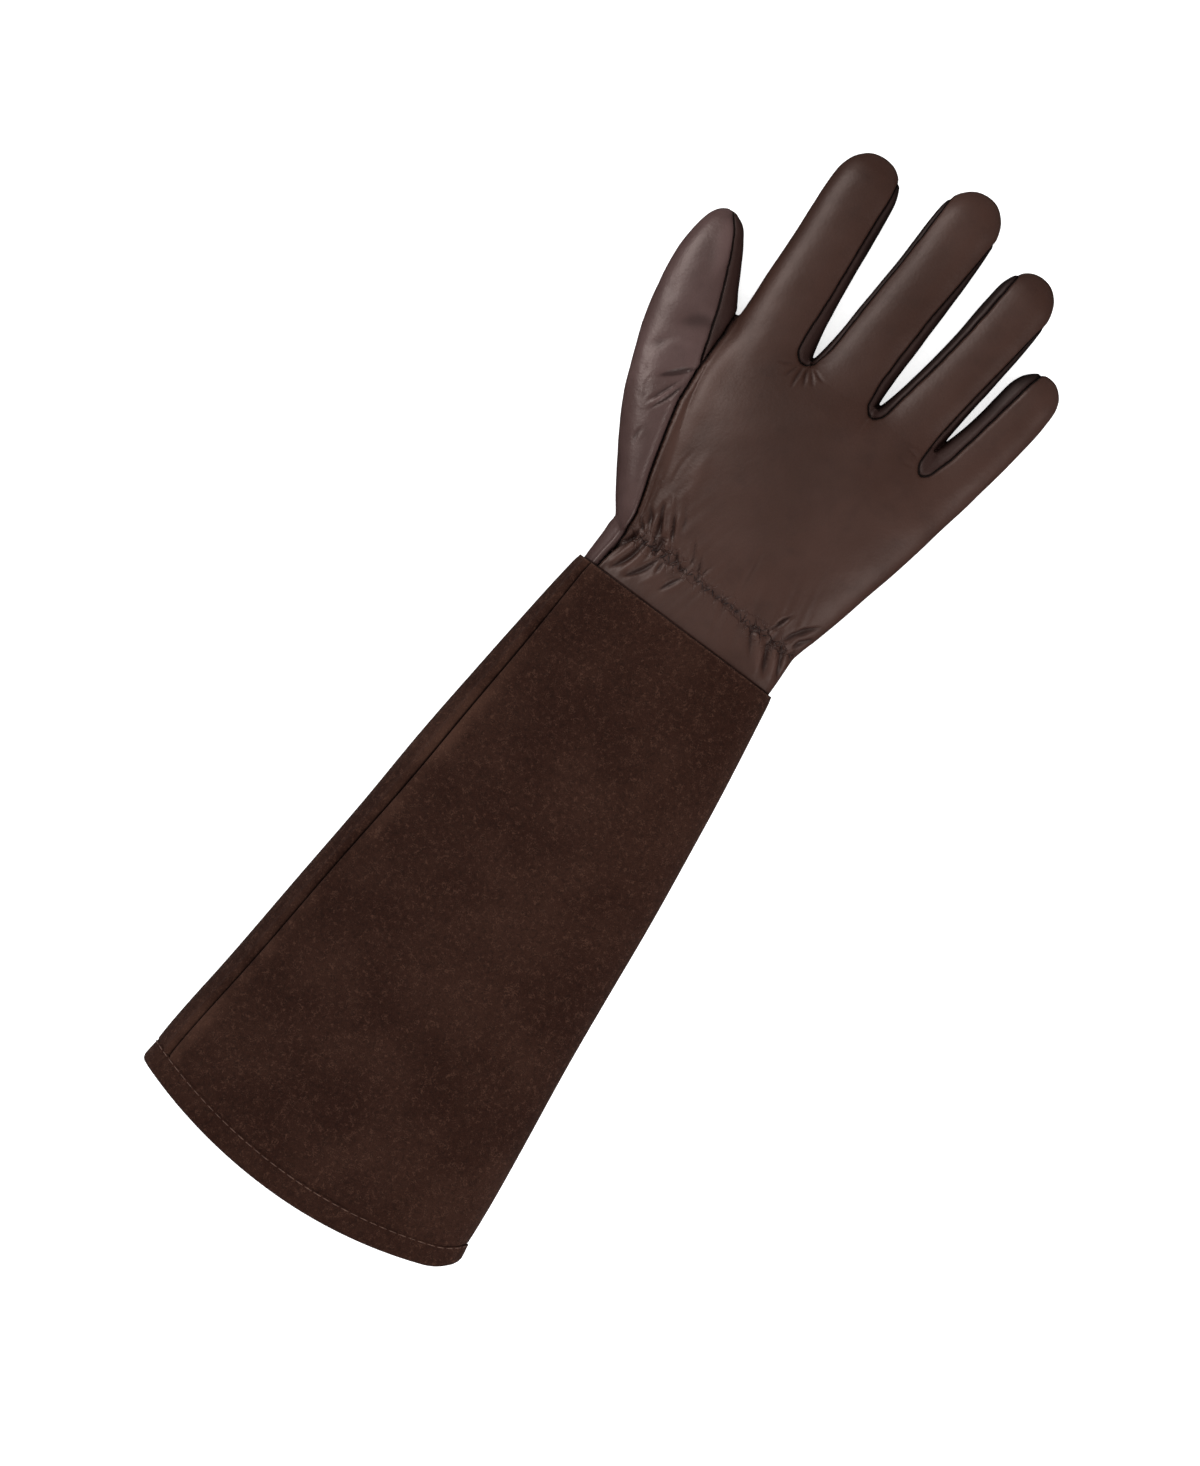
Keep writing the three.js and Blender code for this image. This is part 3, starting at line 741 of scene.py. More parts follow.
@dataclass(frozen=True)
class Thread:
    """Twisted sewing thread."""

    name: str
    body: tuple
    pale: tuple
    twist_scale: float = 1800.0
    twist_depth: float = 0.1

    def make(self) -> bpy.types.Material:
        """Builds the material.

        Returns:
            The material.
        """
        paint = Paint(self.name)
        twist = paint.noise(self.twist_scale, 2.0, 0.5, 1.0)
        body = paint.mix(twist.between(0.35, 0.7), self.body, self.pale)
        return paint.surface(Base_Color=body, Roughness=0.7 + (twist - 0.5) * 0.2,
                             Normal=paint.bump(twist, self.twist_depth, 0.6), Specular_IOR_Level=0.3)


@dataclass(frozen=True)
class Paper:
    """Plain pale floor that glows a little, so that it comes out white."""

    name: str = "floor_paper"
    shade: tuple = (0.92, 0.92, 0.92, 1.0)
    glow: float = 0.68

    def make(self) -> bpy.types.Material:
        """Builds the material."""
        return Paint(self.name).surface(Base_Color=self.shade, Roughness=0.9, Specular_IOR_Level=0.1,
                                        Emission_Color=self.shade, Emission_Strength=self.glow)


# The hand
@dataclass(frozen=True)
class PalmRow:
    """One section of the palm, in millimetres."""

    along: float
    left: float
    right: float
    top: float
    bottom: float = 0.0
    slant: float = 0.0


@dataclass(frozen=True)
class FingerRow:
    """One finger: its middle at root, halfway and tip, its reach, half its width, and its widening."""

    root: float
    middle: float
    tip: float
    reach: float
    half: float
    spread: float


@dataclass(frozen=True)
class ThumbRow:
    """One section of the thumb, in millimetres."""

    along: float
    left: float
    right: float
    top: float
    bottom: float = 0.0


@dataclass(frozen=True)
class Fold:
    """One crease, or a ridge where its depth is negative, along a plan line."""

    line: tuple
    depth: float
    width: float


@dataclass
class Hand:
    """Leather hand: palm, fingers and thumb in one form, cut into its sewn panels."""

    wall: float = 1.4
    voxel: float = 0.8
    roundness: float = 2.3
    palm_facets: tuple = (96, 110)
    finger_facets: tuple = (56, 84)
    thumb_facets: tuple = (56, 90)
    finger_start: float = 95.0
    finger_root: float = 112.0
    finger_height: float = 21.0
    straight_share: float = 0.62
    tip_places: tuple = (0, 0.07, 0.25, 0.55, 1.0, 1.8)
    tip_sizes: tuple = (0.02, 0.32, 0.59, 0.82, 0.955, 1.0)
    side_seam: float = 9.0
    gap_low: float = 5.0
    thumb_seam: float = 7.0
    wrist_end: float = -9.0
    seam_reach: float = 6.0
    fold_gain: float = 1.35
    root_opening: float = 0.42
    beyond_thumb: float = -130.0
    beyond_tips: float = 150.0
    beyond_wrist: float = -16.0
    palm: tuple = (
        PalmRow(-10.0, -44.7, 42.2, 24.7, 2.2),
        PalmRow(1.6, -44.7, 42.2, 24.7, 2.2),
        PalmRow(8.3, -44.5, 42.2, 24.2, 1.0),
        PalmRow(15.0, -44.2, 42.2, 24.0),
        PalmRow(20.1, -44.3, 43.2, 23.7),
        PalmRow(26.0, -44.0, 45.0, 24.6),
        PalmRow(34.9, -43.7, 47.4, 26.4),
        PalmRow(47.9, -45.0, 50.7, 28.2),
        PalmRow(63.9, -47.5, 54.7, 29.8),
        PalmRow(80.0, -49.8, 58.3, 29.2, 0.0, 0.2),
        PalmRow(94.0, -50.2, 60.9, 27.0, 0.0, 0.5),
        PalmRow(103.9, -50.0, 62.9, 24.6, 0.0, 0.8),
        PalmRow(109.0, -49.3, 63.3, 22.0, 0.2, 1.0),
        PalmRow(112.5, -47.5, 61.8, 18.0, 0.8, 1.0),
    )
    fingers: tuple = (
        FingerRow(-33.6, -37.2, -39.1, 192.3, 13.7, 0.193),
        FingerRow(-2.2, 0.4, 1.5, 203.0, 13.1, 0.176),
        FingerRow(26.95, 33.5, 36.3, 189.5, 12.0, 0.163),
        FingerRow(52.6, 57.6, 60.1, 160.0, 10.9, 0.119),
    )
    thumb: tuple = (
        ThumbRow(19.3, -42.4, -33.0, 19.8),
        ThumbRow(29.0, -49.5, -33.0, 23.0),
        ThumbRow(40.0, -56.6, -33.5, 24.2),
        ThumbRow(55.0, -65.4, -35.0, 23.9),
        ThumbRow(70.0, -72.2, -38.0, 22.3),
        ThumbRow(85.0, -77.5, -43.5, 20.2),
        ThumbRow(98.0, -81.1, -48.0, 19.1),
        ThumbRow(110.0, -83.2, -50.7, 18.4),
        ThumbRow(120.0, -84.0, -56.1, 17.7),
        ThumbRow(128.0, -83.6, -60.4, 16.6),
        ThumbRow(135.0, -82.4, -64.7, 14.9, 0.2),
        ThumbRow(139.9, -79.9, -68.6, 12.8, 1.6),
        ThumbRow(142.2, -76.8, -73.2, 9.6, 4.2),
    )
    back_left_seam: tuple = ((-40.3, -16), (-39.5, 3.4), (-38.2, 12), (-38.0, 26), (-40.5, 35), (-43.5, 45),
                             (-46.0, 55), (-48.5, 65), (-50.0, 72), (-50.6, 85))
    thumb_crotch: tuple = ((-50.6, 108), (-53, 122), (-58.3, 135), (-64, 150))
    thumb_base: tuple = ((-50.6, 91), (-46.2, 80), (-40.2, 66), (-36, 51), (-35.2, 38.5), (-37.7, 28),
                         (-43, 21), (-50, 17))
    thumb_own: tuple = ((-33, 80), (-45.6, 83.6), (-51, 87), (-53.5, 95), (-56.5, 105), (-59.5, 113),
                        (-62.5, 121), (-66, 129), (-70, 137), (-74, 141.5), (-76, 150))
    gaps: tuple = (
        ((-20, 109.4), (-23.6, 112.5), (-24.6, 120), (-25.3, 140), (-27, 160), (-28.1, 180), (-29.6, 188),
         (-24.4, 192), (-17, 195.5), (-9.9, 195), (-10.3, 186), (-11.6, 160), (-13.1, 135), (-14.3, 120),
         (-16.6, 111.5)),
        ((13.5, 107.4), (10.2, 111), (9.3, 120), (9.5, 130), (10.4, 150), (12.3, 170), (13.2, 180),
         (13.9, 190.5), (20, 190.5), (28, 186.4), (27.5, 180), (25.5, 160), (22.5, 140), (18.5, 120),
         (17, 111)),
        ((41, 100), (38.6, 104), (39, 118), (42, 138), (45, 158), (47.1, 173), (48.3, 181), (50.6, 179.7),
         (52.8, 162.4), (57.3, 159), (55.3, 153), (53.5, 143), (49.5, 123), (47.5, 113), (44.4, 103)),
    )
    gap_lines: tuple = (
        ((105, -17.2), (112, -17.3), (120, -17.65), (160, -18.4), (205, -19)),
        ((105, 12.2), (112, 12.9), (120, 14.2), (160, 18.1), (205, 21)),
        ((105, 40.2), (115.8, 41.4), (126.4, 43.7), (160, 51), (205, 58)),
    )
    apart: float = 4.0
    elastic_line: tuple = ((-38, 19.2), (-30, 20), (-20, 20.2), (-10, 19.6), (0, 19.3), (10, 18.8),
                           (20, 17.4), (30, 17.2), (42, 16.4))
    folds: tuple = (
        Fold(((-30, 31), (-27.7, 24.6), (-26.2, 20.2)), 1.0, 0.9),
        Fold(((-32.4, 36.5), (-28.7, 29.5), (-24.5, 22.7), (-23.2, 17.6)), 1.5, 1.1),
        Fold(((-29.6, 40), (-25.3, 33.8), (-22.4, 27.8), (-20.2, 24)), 1.3, 0.95),
        Fold(((-31, 41), (-27, 36.3), (-23.6, 32), (-21, 27)), -0.8, 0.9),
        Fold(((-31, 35), (-27.2, 28.5), (-23.9, 21)), -0.7, 0.9),
        Fold(((-35.8, 33), (-33, 28.5), (-30.2, 23)), 0.9, 1.0),
        Fold(((-37, 28), (-34, 24.5), (-31, 21.5)), 0.7, 0.8),
        Fold(((-26.6, 43), (-21.8, 35.5), (-18.6, 28)), 0.5, 1.1),
        Fold(((-18.5, 25), (-16, 21.9), (-14.4, 18.6)), 0.7, 0.8),
        Fold(((-14.4, 32), (-11.6, 26.6), (-10, 22)), 0.6, 0.9),
        Fold(((-8.8, 28), (-6.6, 22.7), (-5, 19.6)), 0.7, 0.8),
        Fold(((-3.4, 27.5), (-4.9, 21.9), (-5, 18.6)), 0.5, 0.7),
        Fold(((8.6, 44), (10, 35), (10.8, 25)), 0.3, 1.2),
        Fold(((32.4, 29.5), (30.4, 24.4), (28.4, 18.8)), 0.9, 0.85),
        Fold(((43.6, 31.6), (38.4, 25.3), (34.6, 18.8)), 1.0, 1.2),
        Fold(((46, 28), (41.5, 23), (38.6, 18)), 0.7, 1.0),
        Fold(((-32.4, 22), (-37, 14), (-39, 6)), 1.2, 1.1),
        Fold(((-29.8, 20.6), (-30.9, 12.5), (-34.8, 4.6)), 1.3, 1.0),
        Fold(((-31.2, 18.5), (-33.8, 12), (-36.6, 5)), -0.7, 1.3),
        Fold(((-27, 18.6), (-28, 12), (-31, 5)), -0.8, 1.6),
        Fold(((-21.4, 18), (-24.5, 10.8), (-28.4, 5)), 1.4, 1.1),
        Fold(((-19.9, 18.4), (-19.2, 11.8)), 0.6, 0.8),
        Fold(((-18, 16.5), (-19.6, 11), (-22, 6)), -0.4, 1.5),
        Fold(((-9.6, 17.6), (-12.6, 12.5), (-14.8, 8)), 0.8, 0.95),
        Fold(((22.2, 17.4), (25.4, 11.6), (28, 7)), 0.9, 1.0),
        Fold(((29, 18), (33, 11), (36.4, 4)), 1.1, 1.05),
        Fold(((25, 17.4), (29.6, 10.8), (33, 4)), -0.7, 1.5),
        Fold(((35.8, 17.6), (39.2, 12), (42.4, 5)), 1.0, 1.0),
        Fold(((33, 17), (36.6, 10.6), (39.8, 4)), -0.6, 1.4),
        Fold(((-34.2, 60), (-35, 51), (-33.8, 42.5)), 0.2, 0.9),
        Fold(((-29, 62), (-28, 52), (-25, 42)), -0.4, 3.4),
        Fold(((-45.5, 106), (-46, 85), (-43.5, 68), (-40.5, 54), (-37, 44)), -0.95, 5.5),
        Fold(((-17.2, 109.5), (-15.6, 105.5), (-14.2, 102)), 0.34, 0.7),
        Fold(((-18.6, 109), (-18.6, 104), (-18, 99.5)), 0.36, 0.7),
        Fold(((-20.2, 109), (-21.6, 105), (-23, 101.5)), 0.3, 0.7),
        Fold(((-21.6, 109), (-25, 106.4), (-29, 105)), 0.26, 0.75),
        Fold(((-15.6, 110), (-13.2, 107), (-11.2, 104.2)), 0.32, 0.7),
        Fold(((-14.6, 110.6), (-11.6, 109.2), (-8.6, 108.2)), 0.28, 0.7),
        Fold(((38, 105), (35, 106), (31.5, 106.5)), 0.18, 0.7),
        Fold(((38.4, 102.5), (35.6, 101.5), (32.5, 101)), 0.18, 0.7),
        Fold(((41, 99), (41, 94), (40, 90)), 0.12, 1.6),
    )
    thumb_folds: tuple = (
        Fold(((-50.8, 85.5), (-56, 80.5), (-62.4, 74)), 1.3, 1.3),
        Fold(((-55, 93.5), (-62, 90), (-67.5, 85)), -0.45, 2.8),
        Fold(((-64, 90.5), (-68.5, 85), (-71.5, 79)), 0.5, 3.0),
        Fold(((-54, 103), (-61, 101), (-68, 95)), 0.6, 3.6),
        Fold(((-51.3, 79), (-54, 70), (-57.6, 62)), 0.8, 0.8),
        Fold(((-53.6, 79), (-57, 70.5), (-60, 64)), 0.6, 0.7),
        Fold(((-52.4, 78), (-55.4, 70), (-58.6, 62.6)), -0.6, 0.9),
        Fold(((-62.5, 71), (-61.8, 66), (-60.6, 62)), 0.2, 1.1),
        Fold(((-67.8, 77), (-66.6, 73), (-65.6, 69)), 0.25, 1.0),
        Fold(((-64.5, 73), (-63.8, 69), (-62.6, 66)), 0.2, 0.9),
        Fold(((-55.5, 55), (-55.8, 51), (-54.8, 48)), 0.35, 0.9),
        Fold(((-75.5, 139.5), (-71.5, 132.5), (-68.5, 125), (-66, 116)), -0.8, 3.8),
        Fold(((-78.5, 110), (-76.5, 104), (-74.5, 100)), 0.3, 2.6),
    )
    tuck_places: tuple = (-34, -27, -13, -11, 0, 3.4, 5.2, 8, 11.4, 14, 18.2, 20, 24, 26.6, 31.5, 36, 40)

    def palm_point(self, u: Points, w: Points) -> Points:
        """Points of the palm.

        Args:
            u: shares round it.
            w: shares along it.

        Returns:
            Places in plan millimetres.
        """
        y = blend(self.palm[0].along, self.palm[-1].along, w)
        names = ("left", "right", "top", "bottom", "slant")
        left, right, top, bottom, slant = read_rows(self.palm, names, y)
        middle, half = (left + right) / 2, (right - left) / 2
        x, z = section_point(middle, half, bottom, top, self.roundness, math.tau * u)
        return np.stack([x, y - slant * 0.03 * np.maximum(x, 0), z], axis=1)

    def thumb_point(self, u: Points, w: Points) -> Points:
        """Points of the thumb.

        Args:
            u: shares round it.
            w: shares along it.

        Returns:
            Places in plan millimetres.
        """
        y = blend(self.thumb[0].along, self.thumb[-1].along, np.sin(w * math.pi / 2))
        left, right, top, bottom = read_rows(self.thumb, ("left", "right", "top", "bottom"), y)
        middle, half = (left + right) / 2, (right - left) / 2
        x, z = section_point(middle, half, bottom, top, self.roundness, math.tau * u)
        return np.stack([x, y, z], axis=1)

    def finger_point(self, finger: FingerRow, u: Points, w: Points) -> Points:
        """Points of one finger, straight at first and domed at its tip.

        Args:
            finger: its sizes.
            u: shares round it.
            w: shares along it.

        Returns:
            Places in plan millimetres.
        """
        start, root, tip = self.finger_start, self.finger_root, finger.reach
        straight = self.straight_share
        dome = tip - self.tip_places[-1] * finger.half
        y = np.where(w < straight, blend(start, dome, w / straight),
                     dome + (tip - dome) * np.sin((w - straight) / (1 - straight) * math.pi / 2))
        t = ramp(y, root, dome - root)
        wide = finger.half * (1 + finger.spread * (1 - t) ** 2)
        wide = wide * (1 - 0.16 * ramp(y, root, start - root) ** 1.5)
        height = self.finger_height * math.sqrt(finger.half / self.fingers[1].half)
        tall = height * (1.06 - 0.2 * t)
        back = np.clip((tip - y) / finger.half, 0, self.tip_places[-1])
        size = smooth_column(self.tip_places, self.tip_sizes, back)
        middle = (root + tip) / 2
        at_root = (y - middle) * (y - tip) / ((root - middle) * (root - tip))
        at_middle = (y - root) * (y - tip) / ((middle - root) * (middle - tip))
        at_tip = (y - root) * (y - middle) / ((tip - root) * (tip - middle))
        centre = at_root * finger.root + at_middle * finger.middle + at_tip * finger.tip
        waist = WAIST_SHARE * tall
        x, z = section_point(centre, wide * size, waist - waist * size, waist + (tall - waist) * size,
                             self.roundness, math.tau * u)
        return np.stack([x, y, z], axis=1)

    def held_apart(self, p: Points) -> Points:
        """How far across each place moves while the fingers are held apart for the skin.

        Args:
            p: places in plan millimetres.

        Returns:
            The way of each place.
        """
        way = np.zeros(len(p))
        for line in self.gap_lines:
            middle = np.interp(p[:, 1], [spot[0] for spot in line], [spot[1] for spot in line])
            way += np.tanh((p[:, 0] - middle) / 2.6)
        return way * self.apart / 2 * ramp(p[:, 1], 88, 16)

    def opened(self, p: Points) -> Points:
        """How far across each place moves to open the gaps' roots a little.

        Args:
            p: places in plan millimetres.

        Returns:
            The way of each place.
        """
        way = np.zeros(len(p))
        for line in self.gap_lines:
            off = p[:, 0] - np.interp(p[:, 1], [spot[0] for spot in line], [spot[1] for spot in line])
            way += np.tanh(off / 0.8) * bell(off, 0, 6.5)
        root = ramp(p[:, 1], 111, 4) * ramp(p[:, 1], 140, -14)
        return self.root_opening * way * root

    def form(self) -> bpy.types.Mesh:
        """Joins palm, fingers and thumb into one even skin.

        The fingers are held apart while the skin is made, so that it doesn't close the gaps between them.

        Returns:
            The skin, in plan millimetres.
        """
        bm = bmesh.new()
        tube(bm, *self.palm_facets, self.palm_point)
        for finger in self.fingers:
            tube(bm, *self.finger_facets, lambda u, w, row=finger: self.finger_point(row, u, w))
        tube(bm, *self.thumb_facets, self.thumb_point)
        bmesh.ops.recalc_face_normals(bm, faces=bm.faces)
        rough = finished(bm, "hand_form")
        p = mesh_points(rough)
        p[:, 0] += self.opened(p)
        p[:, 0] += self.held_apart(p)
        set_points(rough, p)
        holder = new_object("hand_form", rough)
        remesh = holder.modifiers.new("skin", "REMESH")
        remesh.mode = "VOXEL"
        remesh.voxel_size = self.voxel
        graph = bpy.context.evaluated_depsgraph_get()
        skin = bpy.data.meshes.new_from_object(holder.evaluated_get(graph))
        bpy.data.objects.remove(holder)
        apart = mesh_points(skin)
        p = apart.copy()
        # Each round comes closer to the places that the points had before they were held apart
        for _ in range(40):
            p[:, 0] = apart[:, 0] - self.held_apart(p)
        set_points(skin, p)
        return skin

    def panel_of(self, p: Points) -> Points:
        """Finds the panel that each place belongs to.

        Args:
            p: places in plan millimetres.

        Returns:
            Places in PANELS, or CUT_AWAY.
        """
        x, y, z = p.T
        low, high = self.beyond_wrist, self.beyond_tips
        out = self.beyond_thumb
        over = np.array([*self.back_left_seam, *self.thumb_crotch, (out, high), (out, low)])
        under = np.array([*self.thumb_base[::-1], *self.thumb_crotch, (out, high), (out, 17)])
        facing = np.array([(out, -60), (-33, -60), *self.thumb_own, (out, high)])
        panel = np.where(z > self.side_seam, PANELS.index(Panel.BACK), PANELS.index(Panel.PALM))
        thumb = np.where(z > self.side_seam, inside(over, x, y), inside(under, x, y))
        outer = thumb & (z > self.thumb_seam) & inside(facing, x, y)
        panel[thumb] = PANELS.index(Panel.THUMB_FRONT)
        panel[outer] = PANELS.index(Panel.THUMB_BACK)
        for k, gap in enumerate(self.gaps):
            within = inside(np.array(gap), x, y) & (z > self.gap_low)
            panel[within] = PANELS.index(Panel.GAP_INDEX_MIDDLE) + k
        panel[y < self.wrist_end] = CUT_AWAY
        return panel

    def evened(self, p: Points, quads: Points, across: int, deep: int, span: tuple[float, float],
               least: float) -> Points:
        """How much each place moves so that palm and fingers meet without a step.

        The skin is looked at along one axis, and the depth seen there is fitted by a straight line over a
        short stretch along the hand.

        Args:
            p: places of the skin's points.
            quads: its faces.
            across: axis across the view.
            deep: axis of sight.
            span: lowest and highest place across.
            least: depth from which the skin counts.

        Returns:
            Change along the axis of sight at each place.
        """
        tree = BVHTree.FromPolygons(p.tolist(), quads.tolist())
        side_step, reach, nearness, most = 0.8, 16.0, 5.5, 2.5
        sides = np.arange(span[0], span[1], side_step)
        rows = np.arange(60.0, 160.0, 1.0)
        depth = np.zeros((len(rows), len(sides)))
        way = Vector((0.0, 0.0, 0.0))
        way[deep] = -1.0
        for i, row in enumerate(rows):
            for k, side in enumerate(sides):
                start = Vector((0.0, float(row), 0.0))
                start[across] = float(side)
                start[deep] = 120.0
                spot = tree.ray_cast(start, way)[0]
                depth[i, k] = spot[deep] if spot is not None else 0.0
        known = depth > least
        offset = np.arange(-reach, reach + 1.0)
        weight = np.exp(-0.5 * (offset / nearness) ** 2)

        def total(values: Points, power: int) -> Points:
            """Sum along the hand, weighted by nearness and a power of the distance."""
            kernel = weight * (-offset) ** power
            return np.apply_along_axis(np.convolve, 0, values, kernel, "same")

        mask = known.astype(float)
        s0, s1, s2 = (total(mask, power) for power in range(3))
        t0, t1 = (total(mask * depth, power) for power in range(2))
        fitted = (s2 * t0 - s1 * t1) / np.maximum(s0 * s2 - s1 * s1, 1.0)
        change = np.where(known & (s0 > 3), np.clip(fitted - depth, -most, most), 0.0)
        row = np.clip(p[:, 1] - rows[0], 0, len(rows) - 1.001)
        side = np.clip((p[:, across] - sides[0]) / side_step, 0, len(sides) - 1.001)
        i, k = row.astype(int), side.astype(int)
        a, b = row - i, side - k
        upper = change[i, k] * (1 - b) + change[i, k + 1] * b
        lower = change[i + 1, k] * (1 - b) + change[i + 1, k + 1] * b
        return upper * (1 - a) + lower * a

    def ease_joints(self, p: Points, quads: Points, edges: Points) -> Points:
        """Lets the back and the sides of the palm run into the fingers.

        Args:
            p: places of the skin's points.
            quads: its faces.
            edges: pairs of neighbours.

        Returns:
            The eased places.
        """
        p = p.copy()
        x, y, z = p.T
        near = ramp(y, 76, 14) * ramp(y, 142, -16)
        # The side of the palm below the little finger
        low = ramp(x, 47, 7) * ramp(z, 18, -5)
        p[:, 0] += self.evened(p, quads, 2, 0, (0.2, 20.0), 44.0) * near * low
        # The back of the hand and all four fingers
        top = ramp(z, 13.5, 3) * ramp(x, -50, 3)
        p[:, 2] += self.evened(p, quads, 0, 2, (-54.0, 70.0), 13.5) * near * top
        # The index finger's outer side
        index = ramp(x, -36, -4) * ramp(x, -51.5, 1.5) * ramp(z, 9, 3)
        share = index * ramp(y, 92, 8) * ramp(y, 132, -12)
        able = share > 0
        picked = edges[able[edges[:, 0]] & able[edges[:, 1]]]
        eased = relax(p, picked, 40, 0.5, able)
        return p + (eased - p) * share[:, None]

    def shared_edges(self, quads: Points, count: int) -> tuple[Points, Points, Points]:
        """Finds the edges between two faces.

        Args:
            quads: the faces.
            count: how many points they have.

        Returns:
            Both ends of each edge, the one face and the other.
        """
        pairs = np.stack([quads, np.roll(quads, -1, axis=1)], axis=2).reshape(-1, 2)
        owner = np.repeat(np.arange(len(quads)), 4)
        key = np.sort(pairs, axis=1)
        code = key[:, 0].astype(np.int64) * count + key[:, 1]
        order = np.argsort(code, kind="stable")
        same = code[order][1:] == code[order][:-1]
        a, b = order[:-1][same], order[1:][same]
        return key[a], owner[a], owner[b]

    def even_panels(self, panel: Points, one: Points, other: Points) -> Points:
        """Gives a face that juts out into the next panel to that panel.

        Args:
            panel: panel of each face.
            one: first face of each shared edge.
            other: second face of each shared edge.

        Returns:
            Panel of each face, with evener borders.
        """
        every = np.arange(len(panel))
        for _ in range(3):
            votes = np.zeros((len(panel), int(panel.max()) + 1), int)
            np.add.at(votes, (one, panel[other]), 1)
            np.add.at(votes, (other, panel[one]), 1)
            most = votes.argmax(axis=1)
            panel = np.where(votes[every, most] >= 3, most, panel)
        return panel

    def fold_height(self, p: Points, folds: Iterable[Fold], allowed: Points) -> Points:
        """How far each place sinks or rises for a list of folds.

        Args:
            p: places.
            folds: the creases and ridges.
            allowed: which places they may touch.

        Returns:
            Height along the normal, in millimetres.
        """
        height = np.zeros(len(p))
        for fold in folds:
            line = through(fold.line, 40)
            reach = 3.2 * fold.width
            low, high = line.min(0) - reach, line.max(0) + reach
            near = np.flatnonzero(allowed & np.all((p[:, :2] > low) & (p[:, :2] < high), axis=1))
            if not len(near):
                continue
            away = np.linalg.norm(p[near, None, :2] - line[None], axis=2)
            spot = away.argmin(axis=1)
            t = spot / (len(line) - 1)
            d = away[np.arange(len(near)), spot] / (0.9 * fold.width * (0.6 + 0.4 * np.sin(np.pi * t)))
            taper = np.sin(np.pi * np.clip(0.04 + 0.92 * t, 0, 1)) ** 0.9
            ends = np.where((spot == 0) | (spot == len(line) - 1), np.exp(-d * d), 1.0)
            lips = 0.3 if fold.width < 1.0 else 0.0
            shape = -np.exp(-d * d) + lips * np.exp(-((d - 1.9) ** 2) / 0.8)
            height[near] += fold.depth * shape * taper * ends
        return height

    def tucks(self) -> list[Fold]:
        """Short creases that cross the elastic, each with its own slant and length.

        Returns:
            The creases.
        """
        rng = np.random.default_rng(17)
        line = through(self.elastic_line, 6)
        made = []
        for x in self.tuck_places:
            y = float(np.interp(x, line[:, 0], line[:, 1]))
            near_left = math.exp(-(((x + 27) / 12) ** 2))
            near_right = math.exp(-(((x - 30) / 11) ** 2))
            strong = 0.55 + 0.45 * max(near_left, near_right)
            above, below = rng.uniform(1.6, 5.0) * strong, rng.uniform(1.4, 4.2) * strong
            lean = rng.uniform(-0.55, 0.35)
            spots = ((x + lean * above, y + above), (x, y), (x - lean * below * 0.7, y - below))
            made.append(Fold(spots, rng.uniform(0.2, 0.75) * strong, rng.uniform(0.6, 0.85)))
        return made

    def from_elastic(self, p: Points) -> Points:
        """How far along the hand each place is from the elastic."""
        line = through(self.elastic_line, 6)
        return p[:, 1] - np.interp(p[:, 0], line[:, 0], line[:, 1])

    def gathers(self, p: Points) -> Points:
        """Puckers along the elastic across the back of the wrist.

        Args:
            p: places in plan millimetres.

        Returns:
            Height along the normal, in millimetres.
        """
        x = p[:, 0]
        off = self.from_elastic(p)
        strength = 0.3 + 0.6 * np.maximum(bell(x, -27, 13), 0.5 * bell(x, 31, 11))
        spread = x + off * 0.25 * np.sign(x - 4) + 1.3 * np.sin(x / 5.3)
        tuck = np.sin(spread * 2 * math.pi / 5.6) + 0.6 * np.sin(spread * 2 * math.pi / 3.7 + 1.0)
        fade = np.exp(-np.abs(off) / np.where(off > 0, 11.0, 8.5))
        pinch = -0.3 * bell(off, 0, 1.9)
        fine = 0.34 * np.sin(x * 2 * math.pi / 2.6 + np.sin(x)) * bell(off, 0, 2.6)
        return strength * (0.42 * tuck * fade + fine) + pinch

    def puckered(self, p: Points, panel: Points) -> Points:
        """How strongly the elastic puckers the leather, for the finish.

        Args:
            p: places in plan millimetres.
            panel: the panel of each place.

        Returns:
            0 to 1 for each place.
        """
        on_back = (p[:, 2] > 8) * (panel == PANELS.index(Panel.BACK))
        strength = 0.3 + 0.7 * np.maximum(bell(p[:, 0], -25, 14), bell(p[:, 0], 28, 11))
        return strength * bell(self.from_elastic(p), 0, 3.2) * on_back

    def crumpled(self, p: Points, panel: Points) -> Points:
        """How finely wrinkled the leather is, for the finish.

        Args:
            p: places in plan millimetres.
            panel: the panel of each place.

        Returns:
            0 to 1 for each place.
        """
        sides = np.maximum(bell(p[:, 0], -27, 13), bell(p[:, 0], 31, 12))
        wrist = bell(self.from_elastic(p), 0, 6.0) * (0.4 + 0.6 * sides)
        thumb = bell(p[:, 1], 72, 14) * (panel == PANELS.index(Panel.THUMB_BACK)) * 0.45
        return np.clip(np.maximum(wrist, thumb), 0, 1) * (p[:, 2] > 4)

